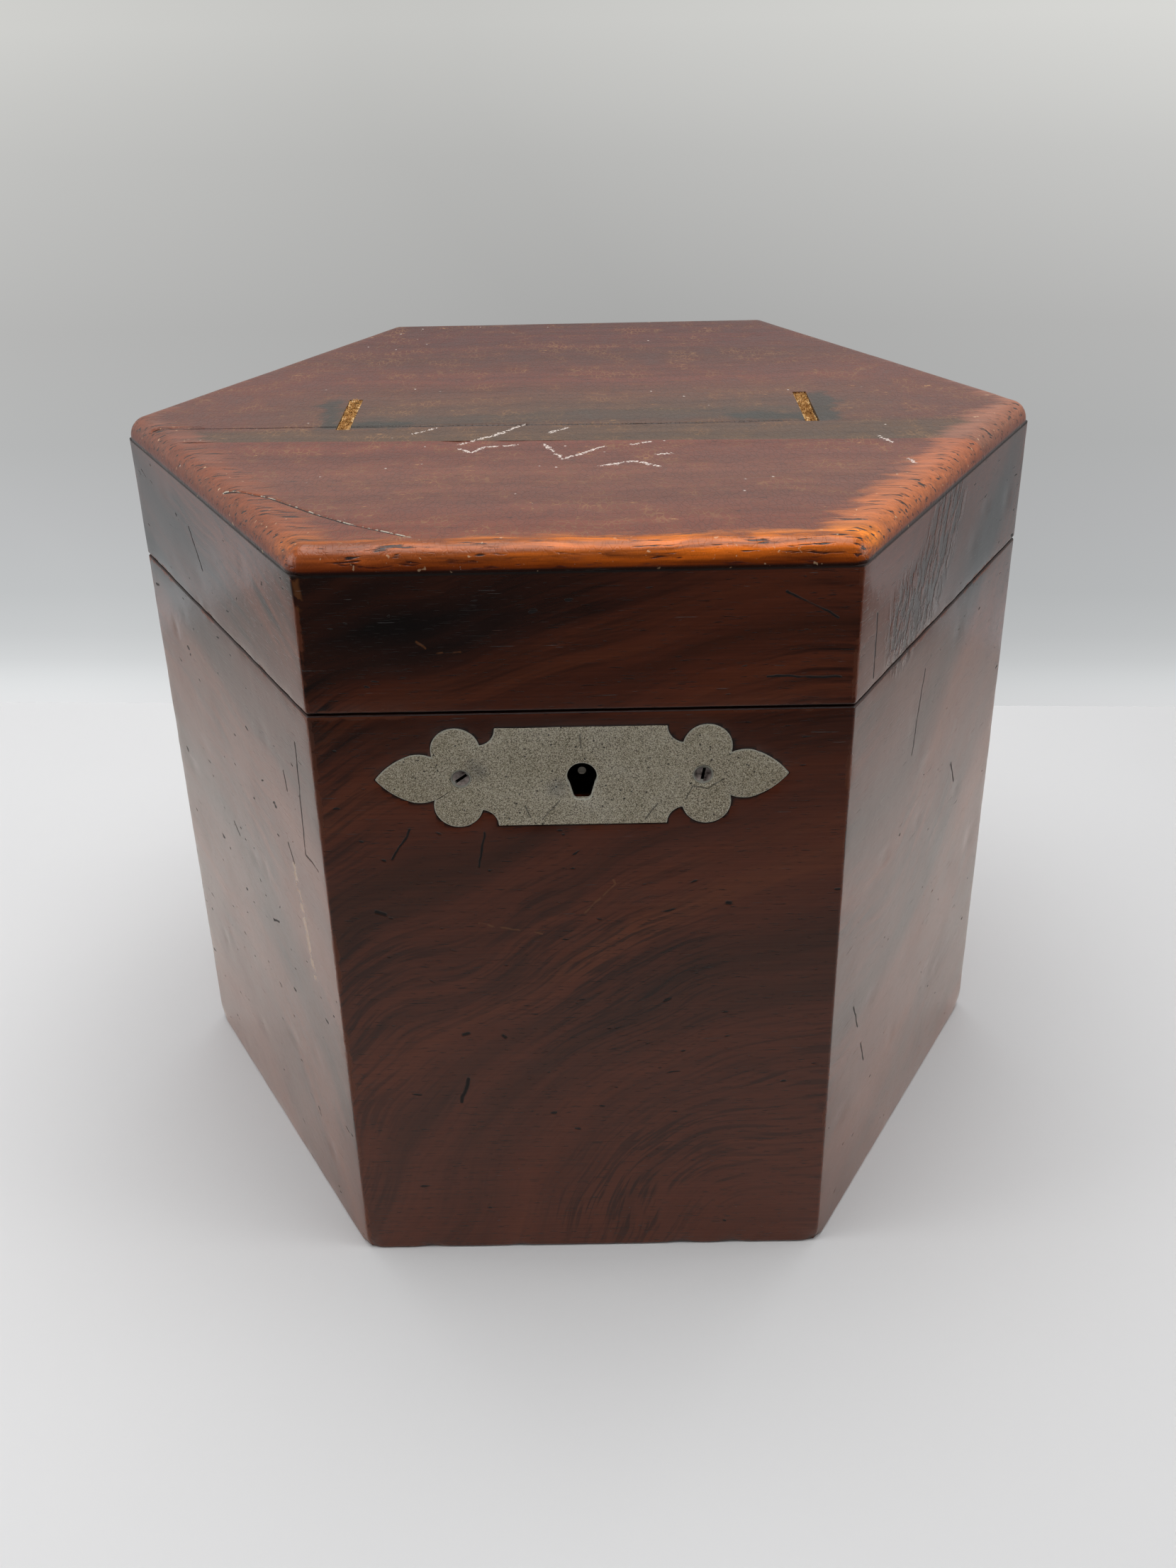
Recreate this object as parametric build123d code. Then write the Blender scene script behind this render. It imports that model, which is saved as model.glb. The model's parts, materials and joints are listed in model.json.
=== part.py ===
"""Hexagonal wooden case for a small concertina, with a hinged lid and a lock let into the front.

Millimetres, +Z up. The origin is the centre of the underside. The lock faces -Y and the lid
hinges at +Y. Two flats face front and back, so two corners lie on the X axis.
"""

from build123d import *
import os
from math import cos, radians, sin, tan

# Walls
across_flats = 184.0
case_height = 175.0
seam_height = 141.0
seam_gap = 0.4
wall = 9.0
corner_ease = 1.0
rim_ease = 0.5
foot_ease = 0.8

# Top, two boards glued edge to edge
top_thickness = 5.2
top_edge_round = 4.6
top_corner_round = 4.8
top_joint_y = -26.3
top_joint_turn = -2.6

# Bottom board, in a rebate under the walls
bottom_thickness = 6.0
bottom_rebate = 4.0
bottom_slack = 0.1
brad_radius = 0.7
brad_length = 15.0
brad_head_radius = 1.3
brad_head_height = 0.6
brad_spread = 25.0

# Baize lining and the corner blocks that carry the instrument
baize = 1.0
lining_drop = 1.0
lining_cutout_gap = 0.5
block_depth = 11.0
body_block_height = 12.0
lid_block_height = 10.0

# Carrying strap, cut off short
strap_thickness = 3.0
strap_width = 25.0
strap_slack = 0.1
strap_x = 53.2
strap_y = -2.1
strap_proud = 0.9
strap_bend = 1.2
strap_tab_length = 16.0
strap_tab_thickness = 1.8
tab_window_gap = 0.3
tack_radius = 0.6
tack_head_radius = 2.0
tack_head_height = 0.6
tack_bite = 3.4
tack_spread = 8.0

# Lock plate on the front, let in flush
lock_drop = 14.45
plate_thickness = 1.2
plate_half_length = 17.0
plate_half_height = 11.0
notch_sag = 0.9
lobe_x = 24.8
lobe_z = 6.2
lobe_radius = 4.95
lobe_start_angle = 167.0
lobe_end_angle = -15.0
leaf_crown_x = 33.6
leaf_crown_z = 5.4
leaf_rise = 0.3
leaf_flank_sag = 0.75
leaf_tip_x = 41.1
plate_screw_x = 24.0
keyhole_radius = 2.95
keyhole_foot = 3.1
keyhole_drop = 5.1
keyhole_wood_gap = 0.3

# Lock, in a mortise cut from inside
back_plate_half_length = 24.0
back_plate_drop = 11.0
back_plate_thickness = 1.2
lock_cavity = 4.4
cap_thickness = 0.8
mortise_half_length = 20.5
mortise_drop = 9.0
cap_slack = 0.1
drill_pin_radius = 0.83
drill_pin_tenon_radius = 0.6
drill_pin_reach = 2.6
pillar_radius = 1.0
pillar_inset = 2.1
ward_radius = 4.0
ward_wall = 0.8
ward_height = 1.0
ward_rise = 1.0
lock_screw_inset = 1.7
lock_screw_margin = 3.0

# Bolt and the staples that it passes through
bolt_travel = 4.5
bolt_gap = 0.3
bolt_above_pin = 3.5
spine_height = 1.4
post_width = 2.5
tongue_thickness = 1.4
tongue_height = 2.2
tongue_tip_gap = 0.4
talon_width = 3.0
talon_height = 2.95
talon_shoulder = 2.2
spring_thickness = 0.4
spring_width = 2.4
staple_x = 10.0
staple_thickness = 2.0
staple_wall = 0.8
staple_base = 0.9
staple_gap = 0.4
link_half_length = 20.0
link_width = 5.0
link_thickness = 1.2
link_screw_x = 16.0

# Butt hinges
hinge_x = 30.0
hinge_length = 25.0
hinge_inset = 1.5
knuckle_count = 5
knuckle_radius = 2.2
knuckle_gap = 0.15
hinge_pin_radius = 1.0
leaf_width = 5.5
leaf_thickness = 1.2
leaf_slack = 0.05
hinge_room = 0.3
hinge_screw_spread = 9.0
stop_bevel = 50.0

# Screws and fits
screw_radius = 0.85
screw_head_radius = 1.45
screw_length = 8.0
short_screw_length = 5.6
plate_screw_radius = 0.9
plate_screw_head_radius = 1.7
screw_sink = 0.05
slot_width = 0.5
slot_depth = 0.45
fixed_fit = 0.02
running_fit = 0.05

# Places that follow from the sizes above
front_y = -across_flats / 2
inner_across = across_flats - 2 * wall
inner_y = front_y + wall
body_top = seam_height - seam_gap / 2
lid_low = seam_height + seam_gap / 2
joint_height = case_height - top_thickness
lined_across = inner_across - 2 * baize
floor_top = bottom_thickness + baize
ceiling_low = joint_height - baize
side_names = ("front", "front_right", "rear_right", "rear", "rear_left", "front_left")

lock_height = seam_height - lock_drop
lock_low = lock_height - mortise_drop
back_plate_low = lock_height - back_plate_drop
selvedge_low = body_top - back_plate_thickness
cavity_back = inner_y - back_plate_thickness
cavity_front = cavity_back - lock_cavity
mortise_front = cavity_front - cap_thickness
cavity_y = (cavity_back + cavity_front) / 2

spine_low = lock_height + bolt_above_pin
spine_top = spine_low + spine_height
staple_low = spine_top + staple_gap
eye_low = staple_low + staple_base
tongue_low = eye_low + bolt_gap
tongue_top = tongue_low + tongue_height
eye_top = tongue_top + bolt_gap
staple_width = tongue_thickness + 2 * bolt_gap + 2 * staple_wall
post_to_staple = staple_thickness / 2 + bolt_travel + bolt_gap

hinge_y = across_flats / 2 - hinge_inset
leaf_y = hinge_y - leaf_width
hinge_screw_y = (leaf_y + hinge_y - knuckle_radius) / 2
body_knuckles = range(0, knuckle_count, 2)
lid_knuckles = range(1, knuckle_count, 2)


def block(x_span, y_span, z_span):
    """Rectangular block from its low and high bound along each axis."""
    spans = (x_span, y_span, z_span)
    middle = [(low + high) / 2 for low, high in spans]
    return Pos(*middle) * Box(*[high - low for low, high in spans])


def around(centre, half):
    """Low and high bound of a span about its centre."""
    return (centre - half, centre + half)


def rod(start, end, radius):
    """Round bar between two points."""
    run = Vector(*end) - Vector(*start)
    upright = (Align.CENTER, Align.CENTER, Align.MIN)
    return Plane(start, z_dir=run) * Cylinder(radius, run.length, align=upright)


def hex_prism(across, low, high):
    """Upright hexagonal block with two corners on the X axis."""
    outline = RegularPolygon(across / 2, 6, major_radius=False)
    return Pos(0, 0, low) * extrude(outline, high - low)


def hex_ring(outer, inner, low, high):
    """Hexagonal tube between two sizes across flats."""
    return hex_prism(outer, low, high) - hex_prism(inner, low - 1, high + 1)


def sector(side):
    """Wedge out from the centre that holds one side, up to its two mitres."""
    reach = across_flats
    ends = [radians(60 * side - 90 + turn) for turn in (-30, 30)]
    outline = Polygon((0, 0), *[(reach * cos(a), reach * sin(a)) for a in ends], align=None)
    return Pos(0, 0, -reach) * extrude(outline, 3 * reach)


def seen_from_front(outline, front, back):
    """Solid with an outline drawn as seen from the front, between two depths."""
    return Pos(0, back, 0) * extrude(Plane.XZ * outline, back - front)


def screw(head, way, radius, head_radius, length, slot_turn=0.0):
    """Countersunk screw with a slotted head. The shank points along way from the head."""
    seat = Plane(head, x_dir=(1, 0, 0), z_dir=way)
    slot = Rot(0, 0, slot_turn) * Box(3 * head_radius, slot_width, 2 * slot_depth)
    return screw_blank(head, way, radius, head_radius, length) - seat * slot


def screw_blank(head, way, radius, head_radius, length, slack=0.0):
    """Cone and shank of a countersunk screw, larger all round by a slack."""
    seat = Plane(head, x_dir=(1, 0, 0), z_dir=way)
    upright = (Align.CENTER, Align.CENTER, Align.MIN)
    sink = head_radius - radius
    shape = Cone(head_radius + slack, radius + slack, sink, align=upright)
    shape += Cylinder(radius + slack, length + slack, align=upright)
    return seat * shape


def screw_hole(head, way, radius, head_radius, length):
    """Room for a countersunk screw, open above its head."""
    above = Vector(*head) - Vector(*way)
    opening = rod(tuple(above), head, head_radius + fixed_fit)
    return opening + screw_blank(head, way, radius, head_radius, length, fixed_fit)


def eased(solid, edges, radius):
    """Round off edges, by no more than the upright corners leave room for."""
    return fillet(edges, min(radius, 0.9 * corner_ease))


def brad_places():
    """Two brads up into each wall, as points on the rebate's middle line."""
    apothem = (inner_across + bottom_rebate) / 2
    for side in range(6):
        turn = radians(60 * side)
        for along in (-brad_spread, brad_spread):
            yield (along * cos(turn) + apothem * sin(turn), along * sin(turn) - apothem * cos(turn))


def brad(x, y, slack=0.0):
    """Headed nail, driven up from just inside the underside."""
    head = rod((x, y, screw_sink), (x, y, screw_sink + brad_head_height), brad_head_radius + slack)
    return head + rod((x, y, screw_sink), (x, y, screw_sink + brad_length + slack), brad_radius + slack)


def brad_hole(x, y):
    """Room for a brad, open below its head."""
    return rod((x, y, -1), (x, y, screw_sink), brad_head_radius + fixed_fit) + brad(x, y, fixed_fit)


def keyhole(front, back, gap=0.0):
    """Pear-shaped opening: a round head whose flanks narrow to a flat foot."""
    foot = keyhole_foot / 2 + gap
    side = keyhole_radius + gap
    low = -keyhole_drop - gap
    outline = Circle(side) + Polygon((-side, 0), (-foot, low), (foot, low), (side, 0), align=None)
    return seen_from_front(Pos(0, lock_height) * outline, front, back)


def lock_plate_outline():
    """Straight plate with two round lobes and a pointed leaf at each end."""
    lobe_start = Vector(lobe_x, lobe_z) + Vector(lobe_radius, 0).rotate(Axis.Z, lobe_start_angle)
    lobe_end = Vector(lobe_x, lobe_z) + Vector(lobe_radius, 0).rotate(Axis.Z, lobe_end_angle)
    corner = (plate_half_length, plate_half_height)
    crown = (leaf_crown_x, leaf_crown_z)
    tip = (leaf_tip_x, 0)
    notch = SagittaArc(corner, lobe_start, -notch_sag)
    lobe = ThreePointArc(lobe_start, (lobe_x, lobe_z + lobe_radius), lobe_end)
    shoulder = SagittaArc(lobe_end, crown, leaf_rise)
    flank = SagittaArc(crown, tip, leaf_flank_sag)
    frame = Polyline(tip, (0, 0), (0, plate_half_height), corner)
    quarter = make_face(Curve() + [notch, lobe, shoulder, flank, frame])
    right_half = quarter + mirror(quarter, Plane.XZ)
    return right_half + mirror(right_half, Plane.YZ)


def lock_plate_screw_heads():
    """Centre of each screw head on the lock plate, with the angle of its slot."""
    depth = front_y + screw_sink
    return (((-plate_screw_x, depth, lock_height), -35), ((plate_screw_x, depth, lock_height), 100))


def pillar_places():
    """Four pillars near the lock's corners, and a stud that the bolt slides on."""
    side = mortise_half_length - pillar_inset
    low = lock_low + pillar_inset
    high = selvedge_low - pillar_inset
    stud = (-staple_x - post_width, spine_low - bolt_gap - pillar_radius)
    return [(-side, low), (side, low), (-side, high), (side, high), stud]


def bores(places, radius, front, back):
    """Round holes along Y for fixed pins, right through a plate between two depths."""
    return [rod((x, front - 1, z), (x, back + 1, z), radius + fixed_fit) for x, z in places]


def lock_screw_heads():
    """Screws that hold the lock, seen from inside the case."""
    side = back_plate_half_length - lock_screw_inset
    low = back_plate_low + lock_screw_margin
    high = selvedge_low - lock_screw_margin
    depth = inner_y - screw_sink
    return [(x, depth, z) for x in (-side, side) for z in (low, high)]


def link_screw_heads():
    """Screws that hold the link plate up into the lid's rim."""
    return [(x, cavity_y, lid_low + screw_sink) for x in (-link_screw_x, link_screw_x)]


def hinge_screw_heads(upper):
    """Three screws through each leaf, on the body's rim or on the lid's."""
    height = lid_low + screw_sink if upper else body_top - screw_sink
    spread = (-hinge_screw_spread, 0, hinge_screw_spread)
    return [(side * hinge_x + x, hinge_screw_y, height) for side in (-1, 1) for x in spread]


def plain_screw(head, way, length):
    """The common screw of the lock, link plate and hinges."""
    return screw(head, way, screw_radius, screw_head_radius, length)


def plain_screw_hole(head, way, length):
    """Room for the common screw."""
    return screw_hole(head, way, screw_radius, screw_head_radius, length)


def knuckles(centre_x, places, radius, gap):
    """Lengths of a hinge's barrel, each shorter at both ends by the gap."""
    step = hinge_length / knuckle_count
    left = centre_x - hinge_length / 2
    for place in places:
        ends = (left + place * step + gap, left + (place + 1) * step - gap)
        yield rod((ends[0], hinge_y, seam_height), (ends[1], hinge_y, seam_height), radius)


def hinge_leaf(centre_x, upper):
    """Leaf that lies on a rim, with its share of the knuckles."""
    own, others = (lid_knuckles, body_knuckles) if upper else (body_knuckles, lid_knuckles)
    low = lid_low if upper else body_top - leaf_thickness
    heads = [head for head in hinge_screw_heads(upper) if abs(head[0] - centre_x) < hinge_length / 2]
    x_span = around(centre_x, hinge_length / 2)
    leaf = block(x_span, (leaf_y, hinge_y), (low, low + leaf_thickness))
    for barrel in knuckles(centre_x, others, knuckle_radius + knuckle_gap, -knuckle_gap / 2):
        leaf -= barrel
    for barrel in knuckles(centre_x, own, knuckle_radius, knuckle_gap / 2):
        leaf += barrel
    pin_fit = running_fit if upper else fixed_fit
    reach = hinge_length
    ends = [(centre_x + side * reach, hinge_y, seam_height) for side in (-1, 1)]
    leaf -= rod(*ends, hinge_pin_radius + pin_fit)
    for head in heads:
        leaf -= plain_screw_hole(head, (0, 0, 1 if upper else -1), screw_length)
    return leaf


def hinge_pocket(centre_x, upper):
    """Room in a rear wall for one leaf and for the whole barrel."""
    low = lid_low - 1 if upper else body_top - leaf_thickness
    high = lid_low + leaf_thickness if upper else body_top + 1
    half = hinge_length / 2 + leaf_slack
    pocket = block(around(centre_x, half), (leaf_y - leaf_slack, hinge_y), (low, high))
    side = hinge_length / 2 + hinge_room
    ends = [(centre_x + way * side, hinge_y, seam_height) for way in (-1, 1)]
    return pocket + rod(*ends, knuckle_radius + hinge_room)


def bevel_cut(upper):
    """Wedge off the back of a rim, so that the lid opens past upright and stops on its bevel."""
    rim = lid_low if upper else body_top
    beyond = hinge_inset + 1
    drop = beyond * tan(radians(stop_bevel)) * (1 if upper else -1)
    outline = Polygon((hinge_y, rim), (hinge_y + beyond, rim), (hinge_y + beyond, rim + drop), align=None)
    return extrude(Plane.YZ * outline, across_flats, both=True)


def body_walls():
    """Six mitred walls with a rebate for the bottom board."""
    shell = hex_prism(across_flats, 0, body_top)
    shell = fillet(shell.edges().filter_by(Axis.Z), corner_ease)
    shell = eased(shell, shell.edges().group_by(Axis.Z)[-1], rim_ease)
    shell = eased(shell, shell.edges().group_by(Axis.Z)[0], foot_ease)
    shell -= hex_prism(inner_across, -1, body_top + 1)
    shell -= hex_prism(inner_across + 2 * bottom_rebate, -1, bottom_thickness)
    shell -= bevel_cut(False)
    for x, y in brad_places():
        shell -= brad_hole(x, y)
    walls = {name: shell & sector(side) for side, name in enumerate(side_names)}
    walls["front"] = cut_for_lock(walls["front"])
    for side in (-1, 1):
        walls["rear"] -= hinge_pocket(side * hinge_x, False)
    for head in hinge_screw_heads(False):
        walls["rear"] -= plain_screw_hole(head, (0, 0, -1), screw_length)
    return {"wall_" + name: solid for name, solid in walls.items()}


def cut_for_lock(front_wall):
    """Recess for the lock plate outside, mortise for the lock inside, and the keyhole between."""
    plate_back = front_y + plate_thickness
    plate_outline = Pos(0, lock_height) * lock_plate_outline()
    front_wall -= seen_from_front(plate_outline, front_y - 1, plate_back)
    half = back_plate_half_length
    front_wall -= block(around(0, half), (cavity_back, inner_y + 1), (back_plate_low, body_top + 1))
    front_wall -= block(around(0, half), (mortise_front, inner_y + 1), (selvedge_low, body_top + 1))
    mortise = block(around(0, mortise_half_length), (mortise_front, inner_y), (lock_low, body_top))
    front_wall -= mortise
    front_wall -= keyhole(plate_back - 1, mortise_front + 1, keyhole_wood_gap)
    for head, _ in lock_plate_screw_heads():
        front_wall -= plate_screw_hole(head)
    for head in lock_screw_heads():
        front_wall -= plain_screw_hole(head, (0, -1, 0), short_screw_length)
    return front_wall


def plate_screw_hole(head):
    """Room for a screw of the lock plate."""
    return screw_hole(head, (0, 1, 0), plate_screw_radius, plate_screw_head_radius, short_screw_length)


def lid_walls():
    """Six mitred walls of the lid, sawn off the same box."""
    shell = hex_prism(across_flats, lid_low, joint_height)
    shell = fillet(shell.edges().filter_by(Axis.Z), corner_ease)
    shell = eased(shell, shell.edges().group_by(Axis.Z)[0], rim_ease)
    shell -= hex_prism(inner_across, lid_low - 1, joint_height + 1)
    shell -= bevel_cut(True)
    walls = {name: shell & sector(side) for side, name in enumerate(side_names)}
    plate_span = around(cavity_y, link_width / 2)
    walls["front"] -= block(around(0, link_half_length), plate_span, (lid_low - 1, lid_low + link_thickness))
    for head in link_screw_heads():
        walls["front"] -= plain_screw_hole(head, (0, 0, 1), screw_length)
    for side in (-1, 1):
        walls["rear"] -= hinge_pocket(side * hinge_x, True)
    for head in hinge_screw_heads(True):
        walls["rear"] -= plain_screw_hole(head, (0, 0, 1), screw_length)
    return {"lid_wall_" + name: solid for name, solid in walls.items()}


def top_boards():
    """Front and rear board of the top, with a rounded edge and a slot for each strap end."""
    panel = hex_prism(across_flats, joint_height, case_height)
    panel = fillet(panel.edges().filter_by(Axis.Z), top_corner_round)
    panel = fillet(panel.edges().group_by(Axis.Z)[-1], top_edge_round)
    for side in (-1, 1):
        panel -= strap_slot(side)
        for place in tack_places(side):
            panel -= tack(place, fixed_fit)
    behind = Box(3 * across_flats, across_flats, across_flats, align=(Align.CENTER, Align.MIN, Align.CENTER))
    behind = Pos(0, top_joint_y, case_height) * Rot(0, 0, top_joint_turn) * behind
    return {"top_board_front": panel - behind, "top_board_rear": panel & behind}


def strap_slot(side):
    """Slot through the top for one end of the strap."""
    half = strap_thickness / 2 + strap_slack
    reach = strap_width / 2 + strap_slack
    z_span = (joint_height - 1, case_height + 1)
    return block(around(side * strap_x, half), around(strap_y, reach), z_span)


def strap_stub(side):
    """Cut end of the strap: up through its slot, and bent flat under the top towards the middle."""
    root = joint_height - strap_tab_thickness
    inner = strap_x - strap_thickness / 2
    outer = strap_x + strap_thickness / 2
    y_span = around(strap_y, strap_width / 2)
    stub = block((inner, outer), y_span, (root, case_height + strap_proud))
    stub += block((inner - strap_tab_length, outer), y_span, (root, joint_height))
    bend = stub.edges().filter_by(Axis.Y).group_by(Axis.Z)[0].sort_by(Axis.X)[-1]
    stub = fillet(bend, min(strap_bend, 0.9 * strap_tab_thickness))
    for place in tack_places(1):
        stub -= tack(place, fixed_fit)
    return stub if side > 0 else mirror(stub, Plane.YZ)


def tack_places(side):
    """Three tacks across each strap end."""
    x = side * (strap_x - strap_thickness / 2 - strap_tab_length / 2)
    return [(x, strap_y + spread) for spread in (-tack_spread, 0, tack_spread)]


def tack(place, slack=0.0):
    """Tack driven up through the strap end into the top."""
    root = joint_height - strap_tab_thickness
    head = rod((*place, root - tack_head_height), (*place, root), tack_head_radius + slack)
    tip = joint_height + tack_bite + slack
    return head + rod((*place, root - tack_head_height), (*place, tip), tack_radius + slack)


def linings():
    """Baize on every wall, on the floor and under the top."""
    pieces = {}
    body_ring = hex_ring(inner_across, lined_across, floor_top, body_top - lining_drop)
    lid_ring = hex_ring(inner_across, lined_across, lid_low + lining_drop, ceiling_low)
    for side, name in enumerate(side_names):
        pieces["lining_" + name] = body_ring & sector(side)
        pieces["lid_lining_" + name] = lid_ring & sector(side)
    half = back_plate_half_length + lining_cutout_gap
    bounds = (back_plate_low - lining_cutout_gap, case_height)
    pieces["lining_front"] -= block(around(0, half), around(inner_y, wall), bounds)
    pieces["lining_floor"] = hex_prism(inner_across, bottom_thickness, floor_top)
    ceiling = hex_prism(inner_across, ceiling_low, joint_height)
    for side in (-1, 1):
        ceiling -= tab_window(side)
    pieces["lid_lining_top"] = ceiling
    return pieces


def tab_window(side):
    """Opening in the lid's lining around a strap end."""
    inner = strap_x - strap_thickness / 2 - strap_tab_length - tab_window_gap
    outer = strap_x + strap_thickness / 2 + tab_window_gap
    x_span = (inner, outer) if side > 0 else (-outer, -inner)
    y_span = around(strap_y, strap_width / 2 + tab_window_gap)
    return block(x_span, y_span, (ceiling_low - 1, joint_height + 1))


def corner_blocks(low, high):
    """Six triangular blocks in the lined corners."""
    corner = lined_across / 2 / cos(radians(30))
    room = hex_prism(lined_across, low, high)
    cut = block((corner - block_depth, corner + 1), around(0, across_flats), (low, high))
    return [room & (Rot(0, 0, 60 * place) * cut) for place in range(6)]


def lock_back_plate():
    """Plate flush with the inside of the wall, with a selvedge turned out along the rim."""
    half = back_plate_half_length
    plate = block(around(0, half), (cavity_back, inner_y), (back_plate_low, body_top))
    plate += block(around(0, half), (mortise_front, inner_y), (selvedge_low, body_top))
    for side in (-1, 1):
        slot = around(side * staple_x, staple_thickness / 2 + staple_gap)
        plate -= block(slot, (cavity_front, cavity_back), (selvedge_low - 1, body_top + 1))
    plate -= bores([(0, lock_height)], drill_pin_tenon_radius, cavity_back, inner_y)
    plate -= bores(pillar_places(), pillar_radius, cavity_back, inner_y)
    for head in lock_screw_heads():
        plate -= plain_screw_hole(head, (0, -1, 0), short_screw_length)
    return plate


def lock_cap():
    """Front of the lock's own box, with a keyhole in line with the lock plate's."""
    x_span = around(0, mortise_half_length - cap_slack)
    cap = block(x_span, (mortise_front, cavity_front), (lock_low + cap_slack, selvedge_low))
    cap -= bores(pillar_places(), pillar_radius, mortise_front, cavity_front)
    return cap - keyhole(mortise_front - 1, cavity_front + 1)


def drill_pin():
    """Pin that the hollow key turns on, with a shoulder on the back plate and a tenon through it."""
    foot = (0, cavity_back, lock_height)
    pin = rod((0, front_y + drill_pin_reach, lock_height), foot, drill_pin_radius)
    return pin + rod(foot, (0, inner_y - screw_sink, lock_height), drill_pin_tenon_radius)


def ward():
    """Curved ridge on the back plate that turns away a key without its notch."""
    depth = (cavity_back - ward_height, cavity_back)
    outline = Circle(ward_radius + ward_wall) - Circle(ward_radius)
    ridge = seen_from_front(Pos(0, lock_height) * outline, *depth)
    above = (lock_height + ward_rise, case_height)
    return ridge - block(around(0, across_flats), around(cavity_back, wall), above)


def lock_bolt():
    """Sliding bolt: a spine, a talon for the key, and two posts whose tongues enter the staples."""
    thick = around(cavity_y, lock_cavity / 2 - bolt_gap)
    thin = around(cavity_y, tongue_thickness / 2)
    left_end = -staple_x - post_to_staple - post_width
    right_end = staple_x - post_to_staple
    bolt = block((left_end, right_end), thick, (spine_low, spine_top))
    for side in (-1, 1):
        face = side * staple_x - post_to_staple
        tip = side * staple_x - staple_thickness / 2 - tongue_tip_gap
        bolt += block((face - post_width, face), thick, (spine_low, tongue_top))
        bolt += block((face, tip), thin, (tongue_low, tongue_top))
    talon_x = -bolt_travel / 2
    middle = talon_x - talon_width / 2 - talon_shoulder
    bolt += block((middle, right_end), thick, (spine_low, tongue_top))
    notch = (spine_low - 1, spine_low + talon_height)
    return bolt - block(around(talon_x, talon_width / 2), around(cavity_y, wall), notch)


def bolt_spring():
    """Bowed strip on the bolt that rubs under the selvedge and holds the bolt where it is put."""
    left = -bolt_travel / 2 - talon_width / 2 - talon_shoulder
    right = staple_x - post_to_staple
    middle = (left + right) / 2
    crown = selvedge_low - bolt_gap
    outer = ThreePointArc((left, tongue_top), (middle, crown), (right, tongue_top))
    start, end = left + spring_thickness, right - spring_thickness
    inner = ThreePointArc((start, tongue_top), (middle, crown - spring_thickness), (end, tongue_top))
    ends = [Line((left, tongue_top), (start, tongue_top)), Line((end, tongue_top), (right, tongue_top))]
    outline = make_face(Curve() + [outer, inner, *ends])
    return seen_from_front(outline, cavity_y - spring_width / 2, cavity_y + spring_width / 2)


def link_plate():
    """Plate in the lid's rim with two staples that drop into the lock."""
    y_span = around(cavity_y, link_width / 2)
    plate = block(around(0, link_half_length), y_span, (lid_low, lid_low + link_thickness))
    for side in (-1, 1):
        x_span = around(side * staple_x, staple_thickness / 2)
        plate += block(x_span, around(cavity_y, staple_width / 2), (staple_low, lid_low))
        eye = around(cavity_y, tongue_thickness / 2 + bolt_gap)
        plate -= block(around(side * staple_x, staple_thickness), eye, (eye_low, eye_top))
    for head in link_screw_heads():
        plate -= plain_screw_hole(head, (0, 0, 1), screw_length)
    return plate


def lid_catch():
    """Link plate with its screws."""
    screws = [plain_screw(head, (0, 0, 1), screw_length) for head in link_screw_heads()]
    return {"link_plate": link_plate(), "link_plate_screws": Compound(children=screws)}


def lock_plate():
    """Lock plate with its keyhole and its two countersunk holes."""
    outline = Pos(0, lock_height) * lock_plate_outline()
    plate = seen_from_front(outline, front_y, front_y + plate_thickness)
    plate -= keyhole(front_y - 1, front_y + plate_thickness + 1)
    for head, _ in lock_plate_screw_heads():
        plate -= plate_screw_hole(head)
    return plate


def lock_parts():
    """Everything of the lock that stays in the body."""
    pillars = [rod((x, mortise_front, z), (x, inner_y, z), pillar_radius) for x, z in pillar_places()]
    plate_screws = [
        screw(head, (0, 1, 0), plate_screw_radius, plate_screw_head_radius, short_screw_length, slot_turn)
        for head, slot_turn in lock_plate_screw_heads()
    ]
    lock_screws = [plain_screw(head, (0, -1, 0), short_screw_length) for head in lock_screw_heads()]
    return {
        "lock_plate": lock_plate(),
        "lock_plate_screws": Compound(children=plate_screws),
        "lock_back_plate": lock_back_plate(),
        "lock_cap": lock_cap(),
        "lock_drill_pin": drill_pin(),
        "lock_ward": ward(),
        "lock_pillars": Compound(children=pillars),
        "lock_screws": Compound(children=lock_screws),
    }


def hinges():
    """Two butt hinges, with the screws of all body leaves and of all lid leaves in one group each."""
    pieces = {}
    for side, name in ((-1, "left"), (1, "right")):
        x = side * hinge_x
        half = hinge_length / 2
        pieces["hinge_body_leaf_" + name] = hinge_leaf(x, False)
        pieces["hinge_lid_leaf_" + name] = hinge_leaf(x, True)
        ends = ((x - half, hinge_y, seam_height), (x + half, hinge_y, seam_height))
        pieces["hinge_pin_" + name] = rod(*ends, hinge_pin_radius)
    down = [plain_screw(head, (0, 0, -1), screw_length) for head in hinge_screw_heads(False)]
    up = [plain_screw(head, (0, 0, 1), screw_length) for head in hinge_screw_heads(True)]
    pieces["hinge_body_screws"] = Compound(children=down)
    pieces["hinge_lid_screws"] = Compound(children=up)
    return pieces


def bottom():
    """Bottom board and its brads."""
    board = hex_prism(inner_across + 2 * (bottom_rebate - bottom_slack), 0, bottom_thickness)
    for x, y in brad_places():
        board -= brad_hole(x, y)
    brads = [brad(x, y) for x, y in brad_places()]
    return {"bottom_board": board, "bottom_brads": Compound(children=brads)}


def straps():
    """Both strap stubs and their tacks."""
    tacks = [tack(place) for side in (-1, 1) for place in tack_places(side)]
    return {
        "strap_stub_left": strap_stub(-1),
        "strap_stub_right": strap_stub(1),
        "strap_tacks": Compound(children=tacks),
    }


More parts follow.
